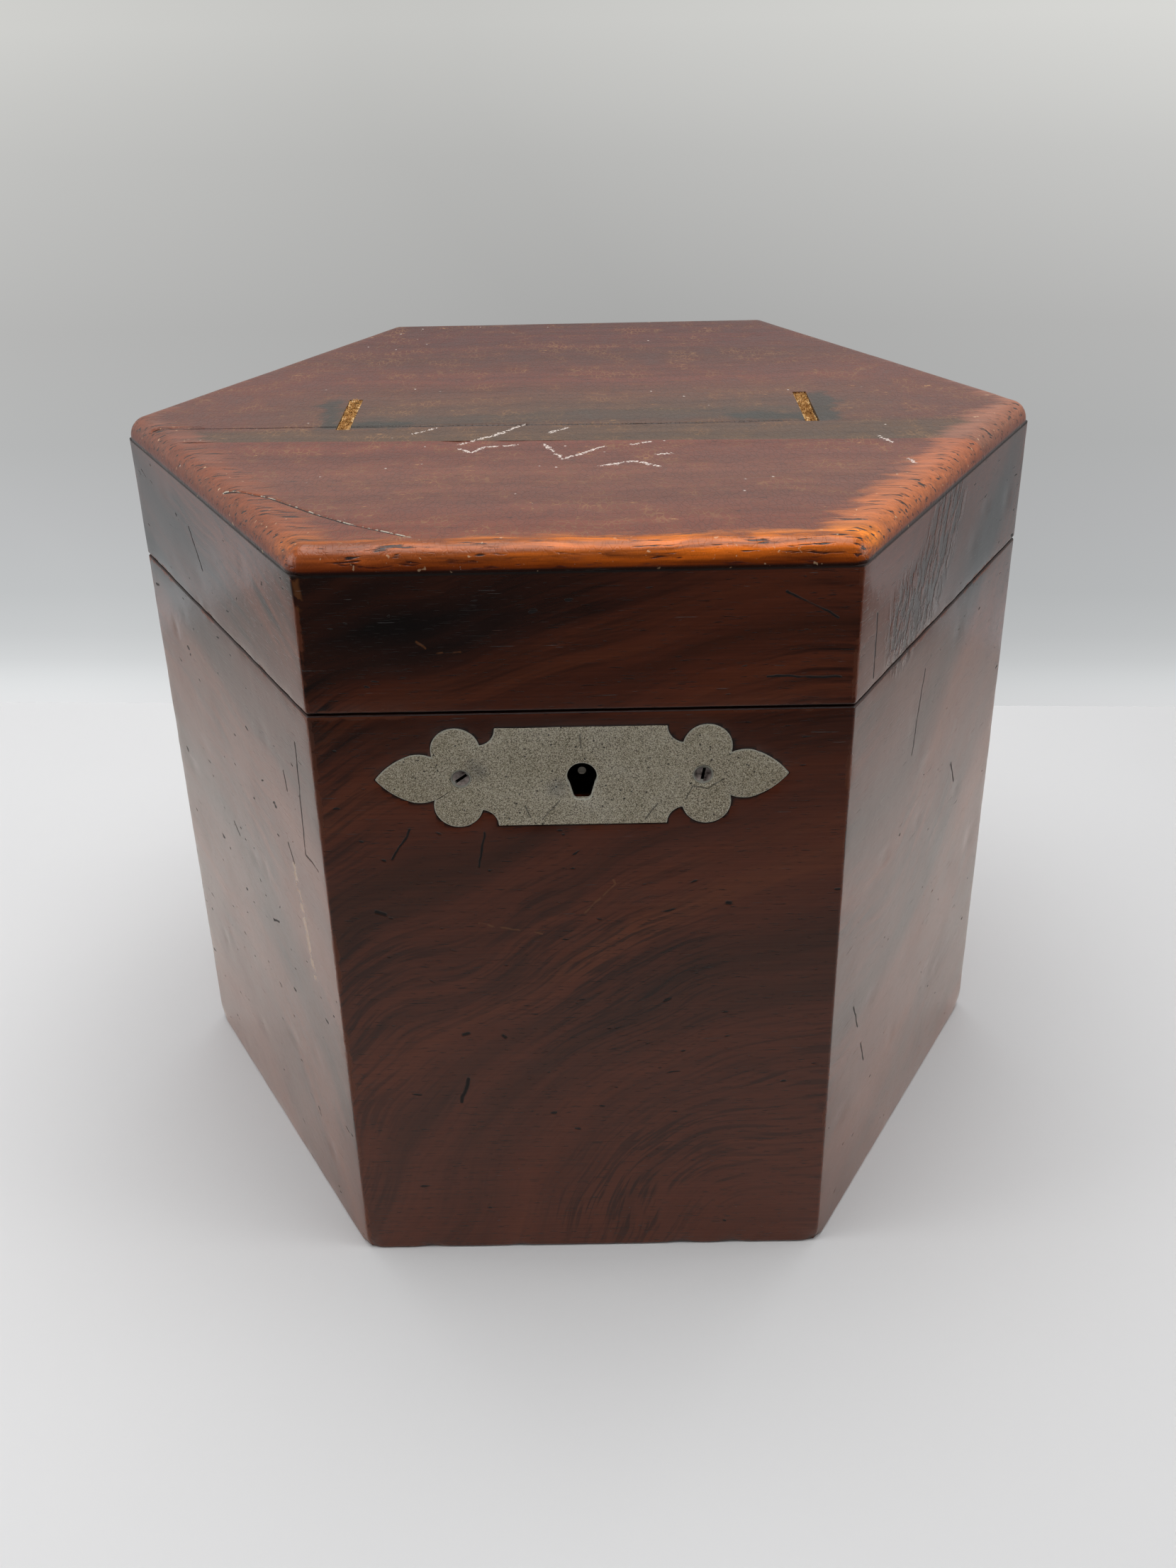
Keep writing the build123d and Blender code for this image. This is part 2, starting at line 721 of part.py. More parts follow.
nodes = {
    **body_walls(),
    **bottom(),
    **linings(),
    "corner_blocks": Compound(children=corner_blocks(floor_top, floor_top + body_block_height)),
    **lock_parts(),
    "lock_bolt": lock_bolt(),
    "bolt_spring": bolt_spring(),
    **hinges(),
    **lid_walls(),
    **top_boards(),
    "lid_corner_blocks": Compound(children=corner_blocks(ceiling_low - lid_block_height, ceiling_low)),
    **lid_catch(),
    **straps(),
}

os.makedirs("parts", exist_ok=True)
for name, solid in nodes.items():
    export_step(solid, f"parts/{name}.step")
print(len(nodes), "pieces written")
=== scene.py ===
# %% [markdown]
# # A hexagonal case for a small concertina
#
# The case is mahogany, french polished, and well over a hundred years of handling have
# crackled its top and worn the polish off its edges. Six mitred walls stand on a bottom board,
# the lid was sawn off the finished box, and a plain metal lock plate is let in flush.
#
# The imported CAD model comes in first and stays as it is. It gives every size and every joint.
# Each step below then dresses one kind of piece around it, in metres, in the same frame.

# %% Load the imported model
import json
import math

import bmesh
import bpy
import numpy as np
from mathutils import Matrix, Vector


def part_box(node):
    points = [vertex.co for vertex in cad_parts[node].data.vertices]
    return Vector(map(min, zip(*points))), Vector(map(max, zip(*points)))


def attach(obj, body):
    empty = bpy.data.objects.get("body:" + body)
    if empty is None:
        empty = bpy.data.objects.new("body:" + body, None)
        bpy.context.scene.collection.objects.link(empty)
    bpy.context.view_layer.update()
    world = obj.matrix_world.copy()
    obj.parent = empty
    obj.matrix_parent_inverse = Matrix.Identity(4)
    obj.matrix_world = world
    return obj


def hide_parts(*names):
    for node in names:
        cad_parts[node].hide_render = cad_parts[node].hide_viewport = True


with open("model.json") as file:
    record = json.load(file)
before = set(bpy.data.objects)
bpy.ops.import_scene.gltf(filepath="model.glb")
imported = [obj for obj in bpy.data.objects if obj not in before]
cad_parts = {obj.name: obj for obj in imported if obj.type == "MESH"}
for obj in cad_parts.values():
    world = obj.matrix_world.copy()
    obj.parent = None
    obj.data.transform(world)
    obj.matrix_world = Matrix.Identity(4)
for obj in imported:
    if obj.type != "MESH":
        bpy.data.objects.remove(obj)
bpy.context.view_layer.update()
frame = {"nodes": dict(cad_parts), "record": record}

scene = bpy.context.scene
MM = 0.001

# %% [markdown]
# ## Small helpers
#
# Colours are written as the hex codes that a paint program shows, and Blender's shaders want
# linear light, so one function does the change. Another one adds a node to a tree, sets it, links
# what feeds it, and hands back the output that the next node needs. The others make what every
# finish here repeats: noises, masks, colours laid over one another, and relief.

# %% Colours and nodes
SMOOTH = {"interpolation_type": "SMOOTHSTEP"}


def paint(code):
    """Linear colour of an sRGB hex code."""
    parts = [int(code[at:at + 2], 16) / 255 for at in (1, 3, 5)]
    return (*[p / 12.92 if p <= 0.04045 else ((p + 0.055) / 1.055) ** 2.4 for p in parts], 1.0)


def feed(node, inputs):
    """Gives sockets of a node, by name or number, a value, a hex colour or another node's output."""
    for name, value in inputs.items():
        socket = node.inputs[name]
        if isinstance(value, bpy.types.NodeSocket):
            node.id_data.links.new(value, socket)
        elif isinstance(value, str) and value[0] == "#":
            socket.default_value = paint(value)
        elif isinstance(value, float) and socket.type == "VECTOR":
            socket.default_value = (value, value, value)
        else:
            socket.default_value = value


def add(tree, kind, *inputs, out=0, stops=(), **settings):
    """Adds a node and hands back one of its outputs.

    kind may leave out ShaderNode, and may end in an operation. The inputs come in order, or from a
    dictionary. stops fills a colour ramp.
    """
    kind, _, operation = kind.partition(" ")
    node = tree.nodes.new(kind if "Node" in kind else "ShaderNode" + kind)
    if operation:
        node.operation = operation
    for name, value in settings.items():
        setattr(node, name, value)
    feed(node, inputs[0] if inputs and isinstance(inputs[0], dict) else dict(enumerate(inputs)))
    for number, (place, code) in enumerate(stops):
        ramp = node.color_ramp.elements
        stop = ramp[number] if number < len(ramp) else ramp.new(place)
        stop.position = place
        stop.color = paint(code)
    return node.outputs[out] if len(node.outputs) else node


def pulled(place, scale, detail=2.0, roughness=0.5, turn=(0, 0, 0), shift=(0, 0, 0)):
    """Noise with its own number of cells to the metre along each axis, so that they can be long."""
    tree = place.id_data
    spot = add(tree, "Mapping", {"Vector": place, "Scale": scale, "Rotation": turn, "Location": shift})
    return add(tree, "TexNoise", {"Vector": spot, "Scale": 1.0, "Detail": detail, "Roughness": roughness})


def patches(place, scale, low, high, least=0.0, most=1.0, detail=2.0, roughness=0.5, **pull):
    """Mask that rises where a noise passes from one level to another. Its cells may be pulled long."""
    tree = place.id_data
    if isinstance(scale, tuple):
        cloud = pulled(place, scale, detail, roughness, **pull)
    else:
        cloud = add(tree, "TexNoise", {"Vector": place, "Scale": scale, "Detail": detail,
                                       "Roughness": roughness})
    return add(tree, "MapRange", cloud, low, high, least, most)


def sway(place, scale, detail=2.0, roughness=0.5):
    """Random vector about zero, each of its numbers between about -0.5 and 0.5."""
    tree = place.id_data
    cloud = add(tree, "TexNoise", {"Vector": place, "Scale": scale, "Detail": detail,
                                   "Roughness": roughness}, out="Color")
    return add(tree, "VectorMath SUBTRACT", cloud, 0.5)


def graded(mask, along, *levels, use_clamp=False):
    """A mask that is raised or lowered along some value, between the levels of a Map Range node."""
    tree = along.id_data
    return add(tree, "Math MULTIPLY", mask, add(tree, "MapRange", along, *levels), use_clamp=use_clamp)


def toned(colour, along, *levels):
    """A colour that darkens and lightens along some value, between the levels of a Map Range node."""
    tree = along.id_data
    return add(tree, "VectorMath SCALE", {0: colour, "Scale": add(tree, "MapRange", along, *levels)})


def strongest(*masks):
    """The largest of some masks at each point."""
    most = masks[0]
    for mask in masks[1:]:
        most = add(mask.id_data, "Math MAXIMUM", most, mask)
    return most


def layered(base, *layers):
    """Lays colours over a base, each through its own mask."""
    for mask, colour in layers:
        base = add(mask.id_data, "Mix", {0: mask, 6: base, 7: colour}, out=2, data_type="RGBA")
    return base


def total(parts, start=None, clamp=False):
    """Sum of some masks, each times its own share."""
    for mask, share in parts:
        if start is None:
            start = add(mask.id_data, "Math MULTIPLY", mask, share)
        else:
            start = add(mask.id_data, "Math MULTIPLY_ADD", mask, share, start, use_clamp=clamp)
    return start


def relief(parts):
    """Normal of a surface that stands out by some masks, each times its own height in mm."""
    height = total(parts)
    return add(height.id_data, "Bump", {"Height": height, "Distance": MM})


def new_material(name):
    """Empty material: itself, its tree, its shader, and the place of a point on the object."""
    material = bpy.data.materials.new(name)
    material.use_nodes = True
    tree = material.node_tree
    return material, tree, tree.nodes["Principled BSDF"], add(tree, "TexCoord", out="Object")


def node_group(name, kind, inputs, outputs):
    """Node group with named sockets, and the outputs that bring its inputs in."""
    group = bpy.data.node_groups.new(name, kind + "NodeTree")
    for in_out, sockets in (("INPUT", inputs), ("OUTPUT", outputs)):
        for socket, sort in sockets.items():
            group.interface.new_socket(name=socket, in_out=in_out, socket_type="NodeSocket" + sort)
    return group, group.nodes.new("NodeGroupInput").outputs


# %% Objects and their points
def placed(name, data):
    """New object in the scene."""
    obj = bpy.data.objects.new(name, data)
    scene.collection.objects.link(obj)
    return obj


def covered(mesh, material):
    """Puts one material in every slot of a mesh."""
    if not mesh.materials:
        mesh.materials.append(material)
    for number in range(len(mesh.materials)):
        mesh.materials[number] = material


def points_of(obj):
    """An object's points, in mm."""
    points = np.zeros(len(obj.data.vertices) * 3)
    obj.data.vertices.foreach_get("co", points)
    return points.reshape(-1, 3) / MM


def set_points(obj, points):
    """Puts an object's points somewhere else, in mm."""
    obj.data.vertices.foreach_set("co", (points * MM).ravel())
    obj.data.update()


# %% [markdown]
# ## Camera
#
# The camera stands where the photographer's stood: level with a point well above the case and
# tilted down at it by 29 degrees. Its place came out of the case's own corners in the picture.

# %% Place the camera
yaw, pitch, roll = (math.radians(angle) for angle in (-0.348, 28.885, -1.203))
ahead = Vector((math.sin(yaw) * math.cos(pitch), math.cos(yaw) * math.cos(pitch), -math.sin(pitch)))
across = Vector((math.cos(yaw), -math.sin(yaw), 0))
above = across.cross(ahead)
right = math.cos(roll) * across + math.sin(roll) * above
top = math.cos(roll) * above - math.sin(roll) * across

camera = placed("camera", bpy.data.cameras.new("camera"))
looking = Matrix((right, top, -ahead)).transposed().to_4x4()
camera.matrix_world = Matrix.Translation(Vector((2.82, -363.6, 274.7)) * MM) @ looking
camera.data.sensor_width = 36.0
camera.data.lens = 35.88
scene.camera = camera
print("camera looks down by", round(math.degrees(pitch), 1), "degrees")

# %% [markdown]
# ## Stage and light
#
# The case was photographed in a small white tent: bright cloth above and at the sides, a pale
# floor that curls up into a grey back wall, and the dark room in front of the tent behind the
# camera. That dark room is why the front looks deep red while the side walls look silvery.
# So, for reflections only, the floor is painted dark a little before the camera and brighter in
# the middle, and the camera itself sees a pale floor with a little painted shade towards the front
# and the right. The back wall glows with painted light and shade, and is seen from its front alone.

# %% Floor and back wall
def stage_mesh(name, points, faces):
    """Stage object from points in metres."""
    mesh = bpy.data.meshes.new(name)
    mesh.from_pydata(points, [], faces)
    mesh.shade_smooth()
    obj = placed(name, mesh)
    return obj


reach = 8.0
corners = [(-reach, -reach, 0), (reach, -reach, 0), (reach, reach, 0), (-reach, reach, 0)]
floor = stage_mesh("floor", corners, [(0, 1, 2, 3)])
curl, wall_y, wall_top, askew = 0.05, 0.25, 1.6, -0.05
profile = [(wall_y - curl + curl * math.sin(a), curl - curl * math.cos(a) + 0.0002)
           for a in np.linspace(0, math.pi / 2, 12)] + [(wall_y, wall_top)]
count = len(profile)
backdrop = stage_mesh("backdrop", [(x, y + askew * x, z) for x in (-2.5, 2.5) for y, z in profile],
                      [(i, count + i, count + i + 1, i + 1) for i in range(count - 1)])
backdrop.visible_shadow = False
backdrop.visible_diffuse = False

# %% Their materials
material, tree, shader, place = new_material("white tent cloth, floor")
spot = add(tree, "SeparateXYZ", place, out="X")
depth = add(tree, "SeparateXYZ", place, out="Y")
seen = add(tree, "LightPath", out="Is Camera Ray")

# painted light that only reflections see: dark before y -0.38, half lit to -0.1, all lit behind; brighter in
# the middle
lit = add(tree, "Math ADD", add(tree, "MapRange", depth, -0.38, -0.1, 0.1, 0.56),
          add(tree, "MapRange", depth, -0.1, -0.05, 0.0, 0.44))
lit = graded(lit, add(tree, "Math ABSOLUTE", spot), 0.13, 0.36, 1.45, 0.55)
lit = graded(lit, spot, 0.3, 0.38, 1.0, 0.62)
share = add(tree, "MapRange", seen, 0.0, 1.0, lit, 1.0)

# the cloth itself, a little unlike from place to place, with painted shade darker towards the front and the
# right, and painted warmer in reflections
pale = patches(place, 6.0, 0.0, 1.0, 0.70, 0.75)
pale = graded(pale, depth, -0.34, -0.08, 0.9, 1.0)
pale = graded(pale, spot, -0.3, 0.3, 1.06, 0.93)
red = add(tree, "Math MULTIPLY", share, pale)
green = graded(red, seen, 0.0, 1.0, 0.97, 1.0)
blue = graded(red, seen, 0.0, 1.0, 0.92, 1.0)
cloth = add(tree, "CombineColor", {0: red, 1: green, 2: blue})
feed(shader, {"Base Color": cloth, "Roughness": 0.9, "Specular IOR Level": 0.1})
covered(floor.data, material)

material, tree, shader, place = new_material("white tent cloth, back wall")
tree.nodes.remove(shader)
height = add(tree, "SeparateXYZ", place, out="Z")
spot = add(tree, "SeparateXYZ", place, out="X")
# the back wall glows with painted light and shade: darker a little way up, lighter towards the sides, and
# dimmer at its right end in reflections
shade = add(tree, "ValToRGB", add(tree, "Math DIVIDE", height, 0.4),
            stops=[(0.0, "#dcddde"), (0.007, "#d6d8d9"), (0.02, "#cacccd"), (0.038, "#c1c3c4"),
                   (0.075, "#b9bbbc"), (0.155, "#b4b5b6"), (0.23, "#b0b1b1"), (0.345, "#b3b3b2"),
                   (0.5, "#c2c2c0"), (0.61, "#d2d2cf"), (1.0, "#d4d4d1")])
middle = add(tree, "MapRange", height, 0.03, 0.22, 0.09, -0.06)
aside = add(tree, "Math ABSOLUTE", add(tree, "Math SUBTRACT", spot, middle))
seen = add(tree, "LightPath", out="Is Camera Ray")
dim = add(tree, "MapRange", seen, 0.0, 1.0, add(tree, "MapRange", spot, 0.27, 0.42, 1.0, 0.66), 1.0)
bright = add(tree, "Math MULTIPLY", add(tree, "MapRange", aside, 0.02, 0.3, 0.87, 1.09), dim)
glow = add(tree, "Emission", {"Color": shade, "Strength": bright})
clear = add(tree, "BsdfTransparent")
behind = add(tree, "NewGeometry", out="Backfacing")
front_only = add(tree, "MixShader", {0: behind, 1: glow, 2: clear})
feed(tree.nodes["Material Output"], {"Surface": front_only})
covered(backdrop.data, material)
print("stage:", floor.name, backdrop.name)

# %% Lamps and world
def soft_box(name, place, target, size, power):
    """Square area lamp that faces a point, in metres and watts."""
    lamp = bpy.data.lights.new(name, "AREA")
    lamp.size = size
    lamp.energy = power
    aim = Vector(place) - Vector(target)
    facing_it = aim.to_track_quat("Z", "Y").to_matrix().to_4x4()
    placed(name, lamp).matrix_world = Matrix.Translation(place) @ facing_it


soft_box("tent roof", (0.0, 0.0, 0.95), (0, 0, 0.1), 0.75, 6.4)
soft_box("tent left", (-0.95, -0.15, 0.45), (0, 0, 0.08), 0.6, 3.0)
soft_box("tent right", (0.95, -0.15, 0.45), (0, 0, 0.08), 0.6, 2.8)

world = bpy.data.worlds.new("tent and room")
scene.world = world
world.use_nodes = True
tree = world.node_tree
seen = add(tree, "LightPath", out="Is Camera Ray")
way = add(tree, "SeparateXYZ", add(tree, "TexCoord", out="Generated"), out="Y")
strength = add(tree, "MapRange", seen, 0.0, 1.0, add(tree, "MapRange", way, -0.95, 0.1, 0.07, 0.44), 0.62)
feed(tree.nodes["Background"], {"Color": "#fbfcff", "Strength": strength})
scene.view_settings.view_transform = "Standard"

# %% [markdown]
# ## Boards that have been handled
#
# The CAD boards have the right outline, mitres, recesses and rounded edges, but their faces are
# dead flat. A real polished board is slightly wavy, dented, and softened at its arrises, and the
# polish shows all of it. A fresh mesh for each board would have to repeat every recess, so each
# board is a merged copy of its CAD node instead. Its outer skin is scored into small squares,
# like slicing a loaf in both directions, and only then do its points move, always inwards.

# %% Copy and score a board
SIDES = ("front", "front_right", "rear_right", "rear", "rear_left", "front_left")
half_across = -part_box("wall_front")[0].y / MM
body_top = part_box("wall_front")[1].z / MM
lid_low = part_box("lid_wall_front")[0].z / MM
case_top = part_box("top_board_rear")[1].z / MM
rightward, rearward, up = np.eye(3)
down = -up


def facing(number):
    """Outward direction of a side, counted round from the front."""
    angle = math.radians(60 * number - 90)
    return np.array((math.cos(angle), math.sin(angle), 0.0))


side_planes = [(facing(number), half_across) for number in range(6)]


def own_copy(node):
    """Merged copy of a CAD node, with the triangles of each flat face joined."""
    bm = bmesh.new()
    bm.from_mesh(frame["nodes"][node].data)
    bmesh.ops.remove_doubles(bm, verts=bm.verts, dist=1e-6)
    bmesh.ops.dissolve_limit(bm, angle_limit=0.003, verts=bm.verts, edges=bm.edges)
    return bm


def score(bm, planes, cuts, depth=0.9):
    """Slices the faces that lie near some planes, in mm, along each cut."""
    skin = []
    for face in bm.faces:
        centre = np.array(face.calc_center_median()) / MM
        if any(offset - centre @ normal < depth for normal, offset in planes):
            skin.append(face)
    geom = skin + list({e for f in skin for e in f.edges}) + list({v for f in skin for v in f.verts})
    for point, normal in cuts:
        found = bmesh.ops.bisect_plane(bm, geom=geom, dist=1e-6, plane_co=Vector(point) * MM,
                                       plane_no=Vector(normal))
        geom = found["geom"]


def mark_recess(bm, low, high):
    """Marks the arris of a recess in the front skin, inside a box in mm, for dirt and painted shade there."""
    layer = bm.verts.layers.float.new("rim")
    bm.normal_update()
    for edge in bm.edges:
        inside = all(low[0] < v.co.x / MM < high[0] and abs(v.co.y / MM + half_across) < 0.02
                     and low[1] < v.co.z / MM < high[1] for v in edge.verts)
        if inside and edge.calc_face_angle(0) > 1:
            for v in edge.verts:
                v[layer] = 1.0


def rows(normal, low, high, step):
    """Evenly spaced cuts across a direction."""
    return [(normal * at, normal) for at in np.arange(low + step / 2, high, step)]


def shaded(bm, mesh, sharp):
    """Writes a bmesh to a mesh, smooth but for edges sharper than an angle in degrees."""
    bm.normal_update()
    for face in bm.faces:
        face.smooth = True
    for edge in bm.edges:
        edge.smooth = edge.calc_face_angle(0) < math.radians(sharp)
    bm.to_mesh(mesh)
    bm.free()


def finished(bm, name, sharp=35):
    """Object from a bmesh."""
    mesh = bpy.data.meshes.new(name)
    shaded(bm, mesh, sharp)
    return placed(name, mesh)


# %% [markdown]
# ## Wear as a field in space
#
# Two boards meet at every mitre, so their shared points have to move by the same amount or a gap
# opens. The wear therefore depends only on where a point is: a smooth noise in millimetres, the
# same for every board, and a direction that leans away from whichever faces are near. Dents are
# round or long hollows that are kept off the mitres, but for the six rubbed corners of the foot,
# which both boards of a mitre share.

# %% Noise, arrises and dents
def drift(points, size, seed=0):
    """Smooth random value from -1 to 1 at each point, over cells of a size in mm."""
    cell = points / size + 100.5
    base = np.floor(cell).astype(np.int64)
    part = cell - base
    ease = part * part * (3 - 2 * part)
    value = np.zeros(len(points))
    for corner in np.ndindex(2, 2, 2):
        i, j, k = (base + corner).T
        mix = (i * 73856093) ^ (j * 19349663) ^ (k * 83492791) ^ (seed * 97531 + 7)
        mix = ((mix ^ (mix >> 13)) * 1274126177) & 0xFFFFFFFF
        dice = ((mix ^ (mix >> 15)) & 0xFFFF) / 32767.5 - 1
        value += dice * np.prod(np.where(corner, ease, 1 - ease), axis=1)
    return value


def nearness(points, planes, reach):
    """How close each point is to each plane, from 0 at a reach away to 1 on it."""
    return np.stack([np.clip(1 - (offset - points @ normal) / reach, 0, 1) for normal, offset in planes])


def wear(obj, skins, ends, reach, wave=0.05, soften=0.16, dents=(), grooves=()):
    """Moves an object's outer skin inwards, and notes where it is worn, dented or cracked."""
    mesh = obj.data
    points = points_of(obj)
    near = nearness(points, skins, reach)
    lean = sum(n[:, None] * normal for n, (normal, _) in zip(near, skins))
    lean /= np.maximum(np.linalg.norm(lean, axis=1), 1e-9)[:, None]
    skin = np.clip(1.6 * near.max(axis=0) - 0.6, 0, 1)
    close = np.sort(nearness(points, [*skins, *ends], 1.6), axis=0)
    arris = np.clip(close[-2] * 1.4, 0, 1)
    rough = 0.5 + 0.5 * drift(points, 2.6, 3)
    worn = arris * np.clip(0.45 + 0.9 * drift(points, 11.0, 4) + 0.3 * rough, 0, 1)
    drop = wave * (0.5 + 0.5 * drift(points, 17.0, 5)) + 0.3 * wave * rough + soften * worn * rough
    deep = np.zeros(len(points))
    if "rim" in mesh.attributes:
        mesh.attributes["rim"].data.foreach_get("value", deep)
        deep *= 0.13 * (0.7 + 0.5 * drift(points, 3.0, 6))
    for x, y, z, radius, stretch, depth in dents:
        off = (points - (x, y, z)) / (radius * np.array(stretch))
        deep += depth * np.exp(-(off ** 2).sum(axis=1) * 2)
    points -= lean * ((drop + deep) * skin)[:, None]
    crack = np.zeros(len(points))
    for start, end, width, depth in grooves:
        start, line = np.array(start, float), np.subtract(end, start)
        along = np.clip((points[:, :2] - start) @ line / (line @ line), 0, 1)
        off = np.linalg.norm(points[:, :2] - start - along[:, None] * line, axis=1)
        crack = np.maximum(crack, np.clip(1 - off / width, 0, 1) * (points[:, 2] > case_top - 4) * depth)
    points[:, 2] -= crack
    set_points(obj, points)
    notes = {"worn": worn * skin, "dent": np.clip(deep * 4, 0, 1), "crack": np.clip(crack * 3, 0, 1)}
    for name, value in notes.items():
        mesh.attributes.new(name, "FLOAT", "POINT").data.foreach_set("value", value.astype(np.float32))


def random_dents(seed, number, normal, half, low, high):
    """Small knocks scattered over one upright face, in mm."""
    dice = np.random.default_rng(seed)
    run = np.cross(up, normal)
    for _ in range(number):
        spot = normal * half_across + run * dice.uniform(-half, half) + up * dice.uniform(low, high)
        stretch = (1, 1, 1) if dice.random() < 0.6 else (1.8, 1.8, 0.7)
        yield (*spot, dice.uniform(1.8, 4.0), stretch, dice.uniform(0.06, 0.22))


# %% Six body walls and six lid walls
walls = {}
grid = 1.7
top_joint = 170.0
lid_high = top_joint - 0.2
corner_out = 2 * half_across / math.sqrt(3)
foot_corners = [(corner_out * math.cos(turn), corner_out * math.sin(turn), 0.0, 2.6, (1, 1, 1), 1.1)
                for turn in np.radians(np.arange(0, 360, 60))]
chips = [(x, -half_across, 0.0, size, (1.6, 1, 0.7), 0.5)
         for x, size in ((-38, 2.2), (-17, 1.6), (21, 2.4), (33, 2.0))]
for number, side in enumerate(SIDES):
    normal = facing(number)
    upright = rows(np.cross(up, normal), -half_across, half_across, grid)
    for part, node, low, high, knocks_in in (("body", "wall_" + side, 0.0, body_top, 14),
                                             ("lid", "lid_wall_" + side, lid_low, lid_high, 5)):
        bm = own_copy(node)
        score(bm, [(normal, half_across)], upright + rows(up, low, high, grid))
        if node == "wall_front":
            mark_recess(bm, (-48, 113), (48, 140))
        walls[node] = finished(bm, f"{part}_board_{side}")
        knocks = list(random_dents(number + 20, knocks_in, normal, 44, low + 6, high - 6))
        ends = [(down, -lid_low)]
        if part == "body":
            knocks += foot_corners + (chips if number == 0 else [])
            ends = [(down, 0.0), (up, body_top)]
        wear(walls[node], side_planes, ends, 2.2, dents=knocks)
print("wall boards:", len(walls), "with", sum(len(o.data.polygons) for o in walls.values()), "faces")

# %% [markdown]
# ## The top: two boards, a long crack and a joint
#
# The top is two boards glued edge to edge. The narrow front one is a warmer piece of wood. The
# rear one has a shrinkage crack that runs with the grain past both strap slots, and the front one
# has an old split near its left end. Each is cut into the board as a real groove: two cuts beside
# its line and one on it, and then the points on the line sink.

# %% Score, wear and crack the top boards
shrinkage = [(-97, -11.3), (-60, -12.4), (14, -14.3), (52, -14.1)]
split = [(-72, -55.5), (-61.5, -62), (-51, -72), (-44, -78), (-31, -86.4)]


def beside(lines, width):
    """Cuts on both sides of each line and one along it, in mm."""
    for (x0, y0), (x1, y1) in lines:
        normal = np.array((y0 - y1, x1 - x0, 0.0))
        normal /= np.linalg.norm(normal)
        for off in (-width, 0, width):
            yield np.array((x0, y0, 0.0)) + normal * off, normal


top_skins = [*side_planes, (up, case_top)]
top_boards = {}
for board, path, width, depth, seed in (("front", split, 0.5, 0.35, 5), ("rear", shrinkage, 0.3, 0.7, 6)):
    node = "top_board_" + board
    lines = list(zip(path, path[1:]))
    bm = own_copy(node)
    low, high = (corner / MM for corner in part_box(node))
    cuts = rows(rightward, low.x, high.x, 2.0) + rows(rearward, low.y, high.y, 2.0)
    score(bm, top_skins, cuts + list(beside(lines, width)), depth=2.6)
    knocks = []
    dice = np.random.default_rng(seed)
    for _ in range(26):
        x, y = dice.uniform(low.x, high.x), dice.uniform(low.y, high.y)
        knocks.append((x, y, case_top, dice.uniform(1.6, 3.4), (1.5, 1, 1), dice.uniform(0.06, 0.2)))
    for x in dice.uniform(-50, 50, 18) if board == "front" else ():
        knocks.append((x, -91 + dice.uniform(0, 3), case_top - dice.uniform(0, 3), dice.uniform(0.8, 1.8),
                       (1.8, 1, 1), dice.uniform(0.15, 0.4)))
    top_boards[node] = finished(bm, node + "_worn")
    wear(top_boards[node], top_skins, [], 4.6, wave=0.09, soften=0.1, dents=knocks,
         grooves=[(*line, width, depth) for line in lines])
print("top boards:", {name: len(o.data.polygons) for name, o in top_boards.items()})

# %% [markdown]
# ## French polished mahogany
#
# The polish is shellac rubbed on in dozens of thin coats. It is clear and amber, so the wood under
# it looks saturated and dark, and the surface is smooth with a soft mirror. The figure is curved:
# dark lines follow arcs about a point low on one side, as where a branch once grew. The pattern is
# a noise read in rings about that point, pulled out of round by a slow drift, so no line repeats.
# One function makes the material for each side, turned to face it, with the rings elsewhere.

# %% Scratches, as thin stretched noise
def scratches(place, slope, length, width, share):
    """Mask of short straight scratches on an upright face, with their slope in degrees, sizes in mm."""
    return patches(place, (1000 / length, 40, 1000 / width), 1 - share, 1.06 - share, detail=1.0,
                   turn=(0, math.radians(slope), 0))


# %% A single stroke, as a node group
stroke, inside = node_group("stroke", "Shader", {"Place": "Vector", "Start": "Vector", "End": "Vector",
                                                 "Width": "Float"}, {"Mask": "Float"})
line = add(stroke, "VectorMath SUBTRACT", inside["End"], inside["Start"])
off = add(stroke, "VectorMath SUBTRACT", inside["Place"], inside["Start"])
along, squared = (add(stroke, "VectorMath DOT_PRODUCT", way, line, out=1) for way in (off, line))
along = add(stroke, "Math DIVIDE", along, squared, use_clamp=True)
nearest = add(stroke, "VectorMath SCALE", {0: line, "Scale": along})
gap = add(stroke, "VectorMath LENGTH", add(stroke, "VectorMath SUBTRACT", off, nearest), out=1)
add(stroke, "NodeGroupOutput", {0: add(stroke, "MapRange", gap, 0.0, inside["Width"], 1.0, 0.0)})


def strokes(place, paths, width, spread):
    """Mask of strokes along paths in mm, whose pairs of numbers the function spread puts in space."""
    masks = []
    for path in paths:
        points = [Vector(spread(*pair)) * MM for pair in path]
        for start, end in zip(points, points[1:]):
            ends = {"Place": place, "Start": start, "End": end, "Width": width * MM}
            masks.append(add(place.id_data, "Group", ends, node_tree=stroke))
    return strongest(*masks)


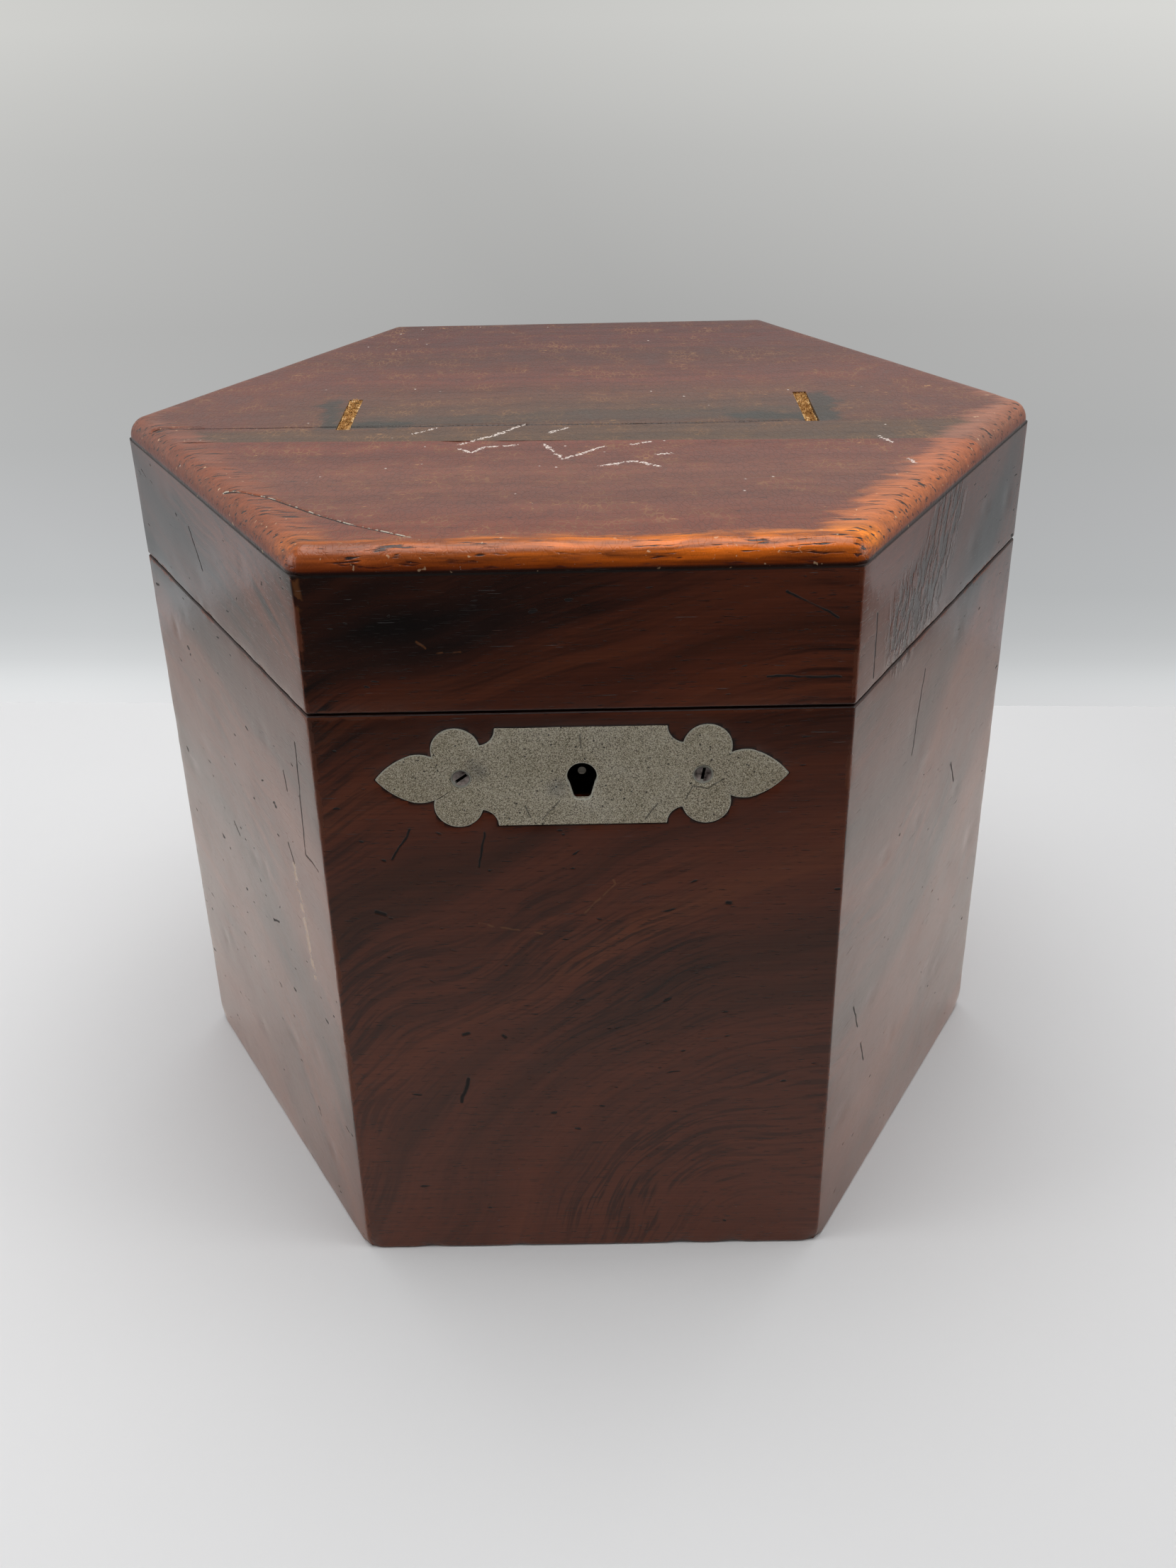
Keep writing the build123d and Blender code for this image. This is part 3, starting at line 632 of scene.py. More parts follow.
# %% Polished mahogany for one side
def polished_mahogany(number, centre, gloom, marks=()):
    """Wall material: rings about a centre and a dark patch (x, z, radius), in mm along the side and up."""
    material, tree, shader, place = new_material(f"french polished mahogany, {SIDES[number]}")
    slide = 3 * number
    flat = add(tree, "Mapping", {"Vector": place, "Rotation": (0, 0, -math.radians(60 * number)),
                                 "Location": (0, slide * MM, 0)})
    height = add(tree, "SeparateXYZ", flat, out="Z")

    # rings about the centre, 14 mm wide, pulled out of round by a 70 mm drift
    bent = add(tree, "VectorMath MULTIPLY_ADD", sway(flat, 14.0), (0.03, 0.0, 0.03), flat)
    off = add(tree, "VectorMath SUBTRACT", bent, (centre[0] * MM, 0, centre[1] * MM))
    radius = add(tree, "VectorMath LENGTH", add(tree, "VectorMath MULTIPLY", off, (1, 0, 1)), out=1)
    x = add(tree, "Math MULTIPLY", add(tree, "SeparateXYZ", bent, out="X"), 0.07)
    z = add(tree, "Math MULTIPLY", height, 0.07)
    ring = add(tree, "CombineXYZ", {0: radius, 1: x, 2: z})
    calm = add(tree, "MapRange", radius, 0.05, 0.11, 0.3, 1.0)
    figure = add(tree, "TexNoise", {"Vector": ring, "Scale": 70.0, "Detail": 3.0})
    figure = add(tree, "Math MULTIPLY_ADD", add(tree, "Math SUBTRACT", figure, 0.53), calm, 0.53)
    wood = add(tree, "ValToRGB", figure,
               stops=[(0.30, "#452010"), (0.47, "#602d1b"), (0.58, "#6b331e"), (0.72, "#783d23")])

    # dark streaks along the rings, 3 mm wide and less, where the branch drew the grain together
    drawn = patches(bent, 19.0, 0.42, 0.62, 0.12, 0.8)
    line = add(tree, "Math MULTIPLY", patches(ring, 330.0, 0.48, 0.64, detail=5.0, roughness=0.62), drawn)
    line = graded(add(tree, "Math MULTIPLY", line, calm), height, 0.12, 0.15, 0.8, 1.8, use_clamp=True)
    thin = add(tree, "Math MULTIPLY", patches(ring, 1100.0, 0.5, 0.62, 0.0, 0.75), drawn)
    wood = layered(wood, (line, "#28100a"), (thin, "#1c0a06"))

    # level saw and scraper lines, 0.4 mm apart, and pores, dashes 3 mm by 0.25 mm
    grain = pulled(flat, (30, 30, 2500), detail=3.0, turn=(0, -0.03, 0))
    pores = patches(flat, (330, 330, 4200), 0.66, 0.73, 0.0, 0.75, detail=1.0, turn=(0, -0.16, 0))
    wood = layered(toned(wood, grain, 0.3, 0.7, 0.84, 1.14), (pores, "#1c0a06"))

    # dark patch, where the figure turns nearly black
    off = add(tree, "VectorMath SUBTRACT", bent, (gloom[0] * MM, -half_across * MM, gloom[1] * MM))
    patch = add(tree, "VectorMath LENGTH", add(tree, "VectorMath MULTIPLY", off, (0.7, 0.0, 1.6)), out=1)
    patch = add(tree, "MapRange", patch, 0.0, gloom[2] * MM, 1.0, 0.0, **SMOOTH)
    patch = graded(patch, figure, 0.35, 0.65, 1.25, 0.6, use_clamp=True)
    wood = layered(wood, (patch, "#0f0504"))

    # pale and dark scratches in three directions, nicks, dirty dents and worn arrises
    light = add(tree, "Math MULTIPLY", scratches(flat, 62, 6.0, 0.16, 0.2),
                patches(flat, 42.0, 0.46, 0.6, detail=1.0))
    dark = strongest(scratches(flat, -38, 8.0, 0.3, 0.225), scratches(flat, 80, 5.0, 0.34, 0.22),
                     patches(bent, (260, 100, 620), 0.745, 0.78, detail=1.0))
    dent = add(tree, "Attribute", out="Fac", attribute_name="dent")
    dent = add(tree, "MapRange", dent, 0.45, 1.0, 0.0, 0.5)
    rough = add(tree, "TexNoise", {"Vector": flat, "Scale": 380.0, "Detail": 3.0})
    worn = add(tree, "Attribute", out="Fac", attribute_name="worn")
    bare = add(tree, "MapRange", add(tree, "Math MULTIPLY", worn, rough), 0.3, 0.48)
    wood = layered(wood, (light, "#7a4a2b"), (dark, "#150705"), (dent, "#1a0a07"), (bare, "#6b351c"))

    def on_side(x, z):
        """Point of the face, in mm, once the side is turned to the front and slid."""
        return x, slide - half_across, z

    # the side's own marks; the ones with a full share are cuts
    cut = add(tree, "Math MULTIPLY", light, 0.4)
    if marks:
        near = add(tree, "VectorMath MULTIPLY_ADD", sway(flat, 260.0), 0.0011, flat)
        broken = add(tree, "MapRange", rough, 0.42, 0.5)
    for paths, code, width, share in marks:
        mark = add(tree, "MapRange", strokes(near, paths, width, on_side), 0.0, 0.6, 0.0, share)
        if share < 1:
            mark = add(tree, "Math MULTIPLY", mark, broken)
        wood = layered(wood, (mark, code))
        if share == 1:
            cut = strongest(cut, mark)

    # folds where the polish ran while it was soft, on the lid's right face
    standing = []
    if number == 1:
        zone = strokes(flat, [[(-3, 165), (-12, 153), (-27, 149)]], 14.0, on_side)
        zone = add(tree, "MapRange", zone, 0.05, 0.6, **SMOOTH)
        folds = patches(bent, (420, 1, 150), 0.45, 0.58, detail=4.0, roughness=0.6)
        folds = add(tree, "Math MULTIPLY", folds, zone)
        valley = add(tree, "Math MULTIPLY", add(tree, "Math SUBTRACT", zone, folds), 0.8)
        wood = layered(wood, (valley, "#0c0504"))
        standing = [(folds, 0.18)]

    # front: darker in a band under its top edge, and dirt and painted shade round the recess of the plate
    if number == 0:
        strip = add(tree, "ValToRGB", add(tree, "Math DIVIDE", height, body_top * MM),
                    stops=[(0.89, "#ffffff"), (0.965, "#d0d0d0"), (0.99, "#c8c8c8"), (1.0, "#ffffff")])
        wood = add(tree, "VectorMath MULTIPLY", wood, strip)
        dirt_and_shade = add(tree, "Attribute", out="Fac", attribute_name="rim")
        wood = layered(wood, (add(tree, "MapRange", dirt_and_shade, 0.45, 0.9, 0.0, 0.85), "#0d0605"))
    # painted shadow in the joint under the top, on every side
    joint_shadow = add(tree, "MapRange", height, (top_joint - 0.8) * MM, (top_joint - 0.4) * MM, 0.0, 0.9)

    # the sawn rims between lid and body have little polish and are painted dark as seam shade, and their
    # mitres show
    rim = add(tree, "Math COMPARE", height, (body_top + lid_low) / 2 * MM, 0.5 * MM)
    wood = layered(wood, (joint_shadow, "#0a0403"), (add(tree, "Math MULTIPLY", rim, 0.8), "#1b0906"))
    if number > 0:
        run = add(tree, "VectorMath DOT_PRODUCT", place, np.cross(up, facing(number)), out=1)
        out = add(tree, "VectorMath DOT_PRODUCT", place, facing(number), out=1)
        mitre = add(tree, "Math COMPARE", add(tree, "Math ABSOLUTE", run),
                    add(tree, "Math MULTIPLY", out, math.tan(math.radians(30))), 0.22 * MM)
        wood = layered(wood, (add(tree, "Math MULTIPLY", mitre, rim), "#060202"))

    gloss = patches(flat, 60.0, 0.3, 0.7, 0.11, 0.22, detail=4.0)
    gloss = total([(bare, 0.25), (dark, 0.4), (cut, 0.5), (rim, 0.3), (joint_shadow, 0.4)], gloss, clamp=True)
    peel = add(tree, "TexNoise", {"Vector": flat, "Scale": 420.0})
    bumps = relief([(peel, 0.016), (grain, 0.008), (pores, -0.02), (light, -0.012), (dark, -0.06),
                    (cut, -0.06), (line, 0.006), *standing])
    feed(shader, {"Base Color": wood, "Roughness": gloss, "IOR": 1.5, "Normal": bumps})
    return material


# %% Ring centres, dark patches and the marks that the picture shows
ring_centres = [(55, -20), (-60, 210), (30, -80), (-90, 60), (80, 190), (-50, -60)]
dark_patches = [(-42, 170, 58), (40, 150, 50), (-30, 90, 45), (20, 160, 60), (-10, 60, 50), (-40, 150, 60)]
gouges = [[(39, 165), (49, 159.5)], [(-35, 115), (-39, 108)], [(-20, 114), (-21.4, 106)],
          [(36, 147.6), (50, 147.2)]]
pits = [[(-43.5, 95.4), (-41.8, 94.8)], [(29.7, 96.3), (30.2, 96.2)], [(-27.0, 63.2), (-26.0, 63.4)],
        [(-18.5, 62.6), (-18.1, 62.3)], [(-26.6, 51), (-28.5, 44.5)]]
hairs = [[(5, 104.3), (6.4, 101.4), (-0.2, 94)], [(-22, 92), (-9, 89.2)],
         [(-30.8, 156.2), (-27.8, 153.7), (-20.7, 154.1)]]
cross_grain = [[(-52.2, 169.5), (-52.0, 163.5)]]
nicks = [[(-10, 131), (-14, 112)], [(18, 95), (22, 88)], [(-40, 60), (-36, 52)], [(-33, 45), (-30, 38)],
         [(-44, 157), (-43.5, 143)]]
knocks = [[(44, 131), (42, 104), (49, 103.5)], [(31, 101), (33.5, 97)], [(-10, 86), (-7, 84)],
          [(12, 70), (16, 72)], [(-12, 160), (-6, 152)], [(34, 120), (35, 116)]]
rubbed = [[(33, 96), (38, 70)]]
own_marks = {
    0: [(cross_grain, "#7d4c28", 0.9, 0.75), (hairs, "#8d5a36", 0.28, 0.5), (gouges, "#0c0504", 0.34, 1.0),
        (pits, "#120705", 0.6, 1.0)],
    1: [(nicks, "#0c0605", 0.4, 1.0)],
    5: [(knocks, "#0c0605", 0.4, 1.0), (rubbed, "#a07c5a", 1.5, 0.8)],
}
for number, side in enumerate(SIDES):
    wood = polished_mahogany(number, ring_centres[number], dark_patches[number], own_marks.get(number, ()))
    for node in ("wall_" + side, "lid_wall_" + side):
        covered(walls[node].data, wood)
print("wall materials:", [m.name for m in bpy.data.materials if m.name.startswith("french")])

# %% [markdown]
# ## The top's crackled polish
#
# Sun and handling have crackled the polish of the top into short wrinkles across the grain, with
# gold flecks where it has lifted. Broad stripes of colour follow the grain. A stain surrounds the
# strap slots. Along the edges the polish is gone: the front board shows honey-coloured wood with
# black pores, and the rear one a redder brown. The worn band is widest on the two slanting sides
# at the front, and its colour comes from a ramp that is read from the front edge to the back.

# %% Crackled mahogany for the top
scuffs = [[(-37, -19), (-32, -15)], [(-26, -28), (-18, -21), (-12, -13)],
          [(-26, -31), (-23, -34), (-20, -30), (-13, -29)], [(-7, -29), (-3, -40), (3, -34), (6, -31)],
          [(-6, -20), (-2, -16)], [(5, -45), (12, -42), (17, -46)], [(12, -30), (16, -28)],
          [(17, -38), (20, -37)], [(66, -27), (68, -32)], [(69.6, -44), (70, -47)]]
veil = [[(-53, -8), (53, -8)]]
damp = [[(-57, 7), (-57, -12), (-40, -11)], [(57, 7), (56, -12), (36, -10)]]
crack_shade_path = [(-38, -13.0), (14, -14.3), (46, -14.1)]


def on_top(x, y):
    """Point of the top's surface, in mm."""
    return x, y, case_top


def crackled_mahogany(board, stripes, bare_wood, crack_from, crack_to):
    """Top material. stripes and bare_wood are colour ramps from the front edge to the back."""
    material, tree, shader, place = new_material(f"crackled mahogany, {board} board of the top")
    slow = sway(place, 26.0, 3.0)
    bent = add(tree, "VectorMath MULTIPLY_ADD", slow, (0.02, 0.009, 0.0), place)
    y, height = (add(tree, "SeparateXYZ", place, out=letter) for letter in "YZ")
    bent_x, bent_y = (add(tree, "SeparateXYZ", bent, out=letter) for letter in "XY")
    edge = half_across * MM

    # stripes of colour with the grain, streaks 3 mm wide and 150 mm long, darker outer ends
    wood = add(tree, "ValToRGB", add(tree, "MapRange", bent_y, -edge, edge), stops=stripes)
    streak = pulled(bent, (7, 300, 300), detail=5.0, roughness=0.6)
    wood = toned(wood, streak, 0.25, 0.75, 0.72, 1.25)
    outer = add(tree, "MapRange", add(tree, "Math ABSOLUTE", bent_x), 0.042, 0.085, 0.0, 0.75, **SMOOTH)
    wood = layered(wood, (graded(outer, y, -0.016, -0.012), "#65352b"))

    # crackle: cells 1.1 mm by 3 mm across the grain, with gold flecks in patches
    jitter = sway(place, 500.0)
    near = add(tree, "VectorMath MULTIPLY_ADD", jitter, 0.0012, place)
    near = add(tree, "Mapping", {"Vector": near, "Scale": (900, 330, 330)})
    ridge = add(tree, "TexVoronoi", {"Vector": near, "Scale": 1.0}, feature="DISTANCE_TO_EDGE")
    ridge = add(tree, "MapRange", ridge, 0.0, 0.11, 1.0, 0.0)
    patchy = add(tree, "TexNoise", {"Vector": bent, "Scale": 110.0, "Detail": 6.0, "Roughness": 0.7})
    fleck = graded(ridge, patchy, 0.48, 0.72, 0.0, 0.55)
    flake = patches(bent, (300, 1000, 1000), 0.64, 0.7, detail=4.0, roughness=0.65, shift=(0, 0.4, 0))
    fleck = strongest(fleck, graded(flake, patchy, 0.48, 0.58))
    wood = layered(toned(wood, patchy, 0.3, 0.7, 0.88, 1.12), (fleck, "#b98a5b"),
                   (add(tree, "Math MULTIPLY", ridge, 0.26), "#3a2a25"))

    # green-grey stain behind the crack, nearly black round the slots
    loose = add(tree, "VectorMath MULTIPLY_ADD", slow, 0.012, place)
    loose = add(tree, "VectorMath MULTIPLY_ADD", sway(place, 210.0, 4.0, 0.6), (0.014, 0.008, 0), loose)
    for paths, width, share, code in ((veil, 9.0, 0.42, "#3a3a33"), (damp, 5.0, 0.72, "#2b302d")):
        stain = add(tree, "MapRange", strokes(loose, paths, width, on_top), 0.1, 0.8, 0.0, share, **SMOOTH)
        wood = layered(wood, (stain, code))

    # how far out towards the nearest side a point is, and the band that is worn bare
    wide = add(tree, "MapRange", y, -0.01, 0.02, 0.009, 0.0035)
    runs = []
    for (normal, _), band in zip(side_planes[:3], (0.0042, wide, wide)):
        run = add(tree, "VectorMath DOT_PRODUCT", place, normal, out=1)
        runs.append(add(tree, "Math ADD", add(tree, "Math ABSOLUTE", run), band))
    fray = patches(bent, (110, 420, 420), 0.25, 0.75, -0.003, 0.003, detail=4.0)
    bare = add(tree, "Math ADD", add(tree, "Math SUBTRACT", strongest(*runs), edge), fray)
    bare = add(tree, "MapRange", bare, -0.0025, 0.003, **SMOOTH)

    # bare wood: redder on the left, with dark veins 1.3 mm wide and black pores
    under = add(tree, "ValToRGB", add(tree, "MapRange", y, -edge, edge), stops=bare_wood)
    under = layered(under, (add(tree, "MapRange", bent_x, -0.06, 0.0, 0.6, 0.0), "#94492b"))
    vein = pulled(bent, (30, 750, 750), detail=4.0, roughness=0.65)
    low = add(tree, "MapRange", y, -0.087, -0.08, 0.15, 0.55)
    high = add(tree, "MapRange", y, -0.087, -0.08, 1.7, 1.35)
    tint = add(tree, "MapRange", vein, 0.25, 0.75, low, high)
    tint = graded(tint, add(tree, "SeparateXYZ", place, out="X"), -0.07, 0.075, 0.7, 1.4)
    under = add(tree, "VectorMath SCALE", {0: under, "Scale": tint})
    pits = patches(bent, (150, 1100, 1100), 0.59, 0.67)
    wood = layered(wood, (bare, layered(under, (pits, "#241410"))))

    # dashes in the polish, dirt and painted shade low on the edge, and a painted shadow in the joint below it
    dash = patches(place, (190, 1300, 1300), 0.70, 0.76, 0.0, 0.75, shift=(0.3, 0, 0))
    grime_and_shade = add(tree, "MapRange", height, top_joint * MM, (top_joint + 2.9) * MM, 0.9, 0.0)
    joint_shadow = add(tree, "MapRange", height, (top_joint + 0.2) * MM, (top_joint + 0.7) * MM, 0.9, 0.0)
    wood = layered(wood, (dash, "#2c201d"), (grime_and_shade, "#6d2505"), (joint_shadow, "#0a0403"))

    # the crack, whose lip is ragged on the front board, nearly black in it, and painted shade along it on the
    # rear board
    crack = add(tree, "Attribute", out="Fac", attribute_name="crack")
    if board == "front":
        lip = graded(patches(place, 620.0, 0.48, 0.56, 0.0, 0.85), crack, 0.1, 0.25)
        wood = layered(wood, (lip, "#b9b0a0"))
    crack_black = add(tree, "TexNoise", {"Vector": place, "Scale": 1100.0, "Detail": 3.0})
    crack_black = add(tree, "ValToRGB", crack_black, stops=[(0.5, "#0d0a09"), (0.8, "#2a2421")])
    wood = layered(wood, (add(tree, "MapRange", crack, crack_from, crack_to), crack_black))
    # painted shade along the crack
    if board == "rear":
        crack_shade = strokes(place, [crack_shade_path], 0.8, on_top)
        crack_shade = add(tree, "Math MULTIPLY", crack_shade, patches(place, 60.0, 0.4, 0.6, 0.4, 1.0))
        wood = layered(wood, (crack_shade, "#120d0b"))

    # chips in the bare wood, chalky scuffs and specks on the polish
    near = add(tree, "VectorMath MULTIPLY_ADD", jitter, 0.00192, place)
    chip = add(tree, "Math MULTIPLY", patches(near, 760.0, 0.72, 0.77, 0.0, 0.6, detail=1.0), bare)
    chalk = add(tree, "TexNoise", {"Vector": place, "Scale": 2300.0})
    chalk = total([(strokes(near, scuffs, 1.0, on_top), 0.42)], chalk)
    specks = add(tree, "TexVoronoi", {"Vector": place, "Scale": 130.0})
    specks = add(tree, "MapRange", specks, 0.022, 0.045, 0.8, 0.0)
    chalk = strongest(add(tree, "MapRange", chalk, 0.76, 0.84, 0.0, 0.85), specks)
    wood = layered(wood, (chip, "#e3bf98"), (chalk, "#dccfc6"))

    # the crackle nearly stops where the polish is gone
    gloss = add(tree, "MapRange", patchy, 0.3, 0.7, 0.34, 0.46)
    gloss = total([(bare, -0.08), (chalk, 0.4)], gloss, clamp=True)
    crackle = graded(ridge, bare, 0.0, 1.0, 1.0, 0.4)
    wavy = add(tree, "TexNoise", {"Vector": place, "Scale": 320.0, "Detail": 3.0})
    bumps = relief([(crackle, -0.05), (wavy, 0.05), (streak, 0.03), (vein, 0.03), (pits, -0.05),
                    (dash, -0.06), (chalk, -0.02)])
    feed(shader, {"Base Color": wood, "Roughness": gloss, "Specular IOR Level": 0.4, "Normal": bumps})
    return material


rear_stripes = [(0.35, "#543e2d"), (0.41, "#563c2c"), (0.43, "#5b3c2e"), (0.5, "#583c2e"), (0.57, "#5f3a2c"),
                (0.64, "#66352a"), (0.76, "#552c22"), (0.88, "#582720"), (1.0, "#4a221b")]
front_stripes = [(0.0, "#7a4026"), (0.05, "#743b2a"), (0.12, "#6d3e31"), (0.23, "#704234"), (0.31, "#6a3a2e"),
                 (0.36, "#6e382b")]
front_bare = [(0.0, "#c25c0c"), (0.03, "#d0720f"), (0.06, "#a85c2c"), (0.36, "#88492c")]
rear_bare = [(0.36, "#7c4c37"), (0.5, "#834c33"), (0.58, "#613425"), (1.0, "#4d2a20")]
covered(top_boards["top_board_front"].data, crackled_mahogany("front", front_stripes, front_bare, 0.5, 0.65))
covered(top_boards["top_board_rear"].data, crackled_mahogany("rear", rear_stripes, rear_bare, 0.05, 0.35))
print("top materials:", [m.name for m in bpy.data.materials if m.name.startswith("crackled")])

# %% [markdown]
# ## Metal: the lock plate, hinges and lock
#
# The lock plate is nickel silver, an alloy of copper, nickel and zinc with no silver in it. Left
# unpolished it turns a dull beige grey, pitted with fine dark specks. The hinges and the lock are
# cast and rolled brass, browned with age, and the screws are steel. Sheet metal always has a small
# bevel where a file took off the burr, and that bevel is what catches the light, so the plates are
# merged copies of their CAD nodes with a narrow Bevel modifier.

# %% Nickel silver
lock_height = sum(corner.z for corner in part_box("lock_plate")) / 2 / MM
plate_screw_x = 24
blue_stains = [[(-21.2, 128.6), (-20.6, 128)], [(-4.4, 124.6), (-5.4, 124.0)]]
plate_scratches = [[(20.5, 121), (22, 124), (25, 123.4), (28.2, 125.6)], [(-8, 117), (-4.6, 121.2)],
                   [(12.5, 116.6), (15, 120.2)], [(-11.5, 120), (-10.5, 117.4)], [(0, 133), (-0.2, 136)]]


def on_front(x, z):
    """Point of the front's surface, in mm."""
    return x, -half_across, z


def nickel_silver():
    """Dull tarnished sheet: specks 0.2 mm, dots 2 mm apart, bluish stains beside a screw and the keyhole."""
    material, tree, shader, place = new_material("nickel silver sheet, tarnished")
    broad = add(tree, "TexNoise", {"Vector": place, "Scale": 120.0, "Detail": 5.0, "Roughness": 0.6})
    metal = add(tree, "ValToRGB", broad, stops=[(0.3, "#c3b79b"), (0.5, "#d1c5ab"), (0.7, "#d8ceb9")])
    aside = add(tree, "Math ABSOLUTE", add(tree, "SeparateXYZ", place, out="X"))
    fine = add(tree, "TexNoise", {"Vector": place, "Scale": 5200.0, "Detail": 3.0, "Roughness": 0.65})
    speck = add(tree, "MapRange", fine, 0.5, 0.64, 0.0, 0.95)
    dots = add(tree, "TexVoronoi", {"Vector": place, "Scale": 560.0})
    loose = sway(place, 300.0)
    stain = strokes(add(tree, "VectorMath MULTIPLY_ADD", loose, 0.003, place), blue_stains, 3.0, on_front)
    near = add(tree, "VectorMath MULTIPLY_ADD", loose, 0.0006, place)
    hair = graded(scratches(place, 58, 9.0, 0.12, 0.235), broad, 0.45, 0.6)
    own = strokes(near, plate_scratches, 0.3, on_front)
    hair = strongest(hair, add(tree, "MapRange", own, 0.2, 0.8, 0.0, 0.7))
    metal = layered(metal, (add(tree, "MapRange", aside, 0.012, 0.04, 0.0, 0.55), "#b9a988"),
                    (speck, "#3b362c"), (add(tree, "MapRange", fine, 0.33, 0.49, 0.95, 0.0), "#f8f5e8"),
                    (add(tree, "MapRange", dots, 0.08, 0.15, 0.9, 0.0), "#24201b"),
                    (add(tree, "MapRange", stain, 0.1, 1.0, 0.0, 0.42), "#474d57"), (hair, "#35302a"))

    # dirt in the ring round each screw, and a painted highlight on the small filed bevels
    rings = []
    for x in (-plate_screw_x, plate_screw_x):
        off = add(tree, "VectorMath SUBTRACT", near, Vector(on_front(x, lock_height)) * MM)
        off = add(tree, "VectorMath LENGTH", add(tree, "VectorMath MULTIPLY", off, (1, 0, 1)), out=1)
        rings.append(add(tree, "MapRange", off, 1.85 * MM, 2.25 * MM, 0.9, 0.0))
    edge = add(tree, "Attribute", out="Fac", attribute_name="filed")
    metal = layered(metal, (strongest(*rings), "#1d1a17"), (add(tree, "Math MULTIPLY", edge, 0.6), "#dcdccf"))
    gloss = add(tree, "MapRange", broad, 0.3, 0.7, 0.42, 0.55)
    gloss = total([(speck, 0.3)], gloss, clamp=True)
    feed(shader, {"Base Color": metal, "Metallic": 0.35, "Roughness": gloss,
                  "Normal": relief([(speck, -0.03), (hair, -0.03), (broad, 0.05)])})
    return material


# %% Brass and steel
def old_metal(name, bright, dull, dark, rough, black=None):
    """Metal browned in patches 3 mm across, with fine rubbed lines. black tells which y, in mm, is painted
    shade.
    """
    material, tree, shader, place = new_material(name)
    patch = add(tree, "TexNoise", {"Vector": place, "Scale": 330.0, "Detail": 5.0, "Roughness": 0.65})
    metal = add(tree, "ValToRGB", patch, stops=[(0.32, dark), (0.48, dull), (0.66, bright)])
    rubbed = pulled(place, (150, 2500, 2500))
    metal = toned(metal, rubbed, 0.3, 0.7, 0.82, 1.12)
    # painted shade: black on one side of a y and low in the body, as in screw slots and behind the keyhole
    if black:
        side, y = black
        deep = add(tree, "Math " + side, add(tree, "SeparateXYZ", place, out="Y"), y * MM)
        low = add(tree, "Math LESS_THAN", add(tree, "SeparateXYZ", place, out="Z"), (body_top - 3) * MM)
        metal = layered(metal, (add(tree, "Math MULTIPLY", deep, low), "#070504"))
    feed(shader, {"Base Color": metal, "Metallic": 1.0,
                  "Roughness": add(tree, "MapRange", patch, 0.3, 0.7, rough + 0.15, rough),
                  "Normal": relief([(rubbed, 0.008), (patch, 0.03)])})
    return material


sheet_metal = nickel_silver()
brass = old_metal("rolled brass, browned", "#c9a765", "#a98447", "#6d4f2a", 0.28)
iron = old_metal("steel screws, darkened", "#8d8880", "#6b665f", "#3a3531", 0.38)
# the plate screws' slots are painted black below the face, as shade
rubbed_iron_shaded_slots = old_metal("steel plate screws, rubbed", "#d8ccc8", "#b0a4a0", "#4a4240", 0.4,
                        ("GREATER_THAN", 0.17 - half_across))
print("metals:", sheet_metal.name, "/", brass.name, "/", iron.name)

# %% Plates with filed edges
def settled(obj, sharp=35):
    """Turns an object's evaluated shape into its plain mesh."""
    graph = bpy.context.evaluated_depsgraph_get()
    mesh = bpy.data.meshes.new_from_object(obj.evaluated_get(graph))
    obj.modifiers.clear()
    obj.data = mesh
    bm = bmesh.new()
    bm.from_mesh(mesh)
    shaded(bm, mesh, sharp)
    return obj


def filed(node, width, material, rounding=()):
    """Copy of a metal CAD node with narrow bevels on its edges, and some rounded (z, radius) corners."""
    bm = own_copy(node)
    for z, radius in rounding:
        corners = [e for e in bm.edges
                   if all(abs(v.co.z / MM - z) < 0.3 and abs(v.co.x / MM) < 4 for v in e.verts)
                   and abs((e.verts[0].co - e.verts[1].co).normalized().y) > 0.99]
        bmesh.ops.bevel(bm, geom=corners, offset=radius * MM, segments=4, profile=0.5, affect="EDGES")
        print(node, "rounded corners:", len(corners))
    obj = finished(bm, node + "_filed")
    bevel = obj.modifiers.new("filed edge", "BEVEL")
    bevel.width = width * MM
    bevel.segments = 2
    bevel.limit_method = "ANGLE"
    bevel.angle_limit = math.radians(50)
    bevel.use_clamp_overlap = False
    settled(obj)
    # the small bevel faces, which the lock plate's material paints lighter as a highlight
    edge = obj.data.attributes.new("filed", "FLOAT", "FACE")
    edge.data.foreach_set("value", [float(max(map(abs, f.normal)) < 0.98 and f.area < 4e-6)
                                    for f in obj.data.polygons])
    covered(obj.data, material)
    return obj


keyhole_foot = 121.45
# the lock's back plate is painted black where it faces the keyhole, as the shade inside the lock
keyhole_shade_brass = old_metal("rolled brass, black towards the keyhole", "#c9a765", "#a98447", "#6d4f2a", 0.28,
                  ("LESS_THAN", -84.1))
plates = {"lock_plate": filed("lock_plate", 0.28, sheet_metal, [(keyhole_foot, 0.7)]),
          "lock_back_plate": filed("lock_back_plate", 0.1, keyhole_shade_brass)}
for node in ("link_plate", "hinge_body_leaf_left", "hinge_body_leaf_right", "hinge_lid_leaf_left",
             "hinge_lid_leaf_right"):
    plates[node] = filed(node, 0.1, brass)
print("plates:", {name: len(o.data.polygons) for name, o in plates.items()})

# %% [markdown]
# ## Screws, brads and tacks
#
# Every fastener of a kind is the same turned shape, so each is made once, on a lathe, and a
# geometry node tree sets copies of it in place. The tree reads two attributes of each point: the
# way the shank points, and how far the slot is turned. A loose turn with a fixed seed is added for
# screws whose slots nobody can see in the picture, because no two screws stop at the same angle.

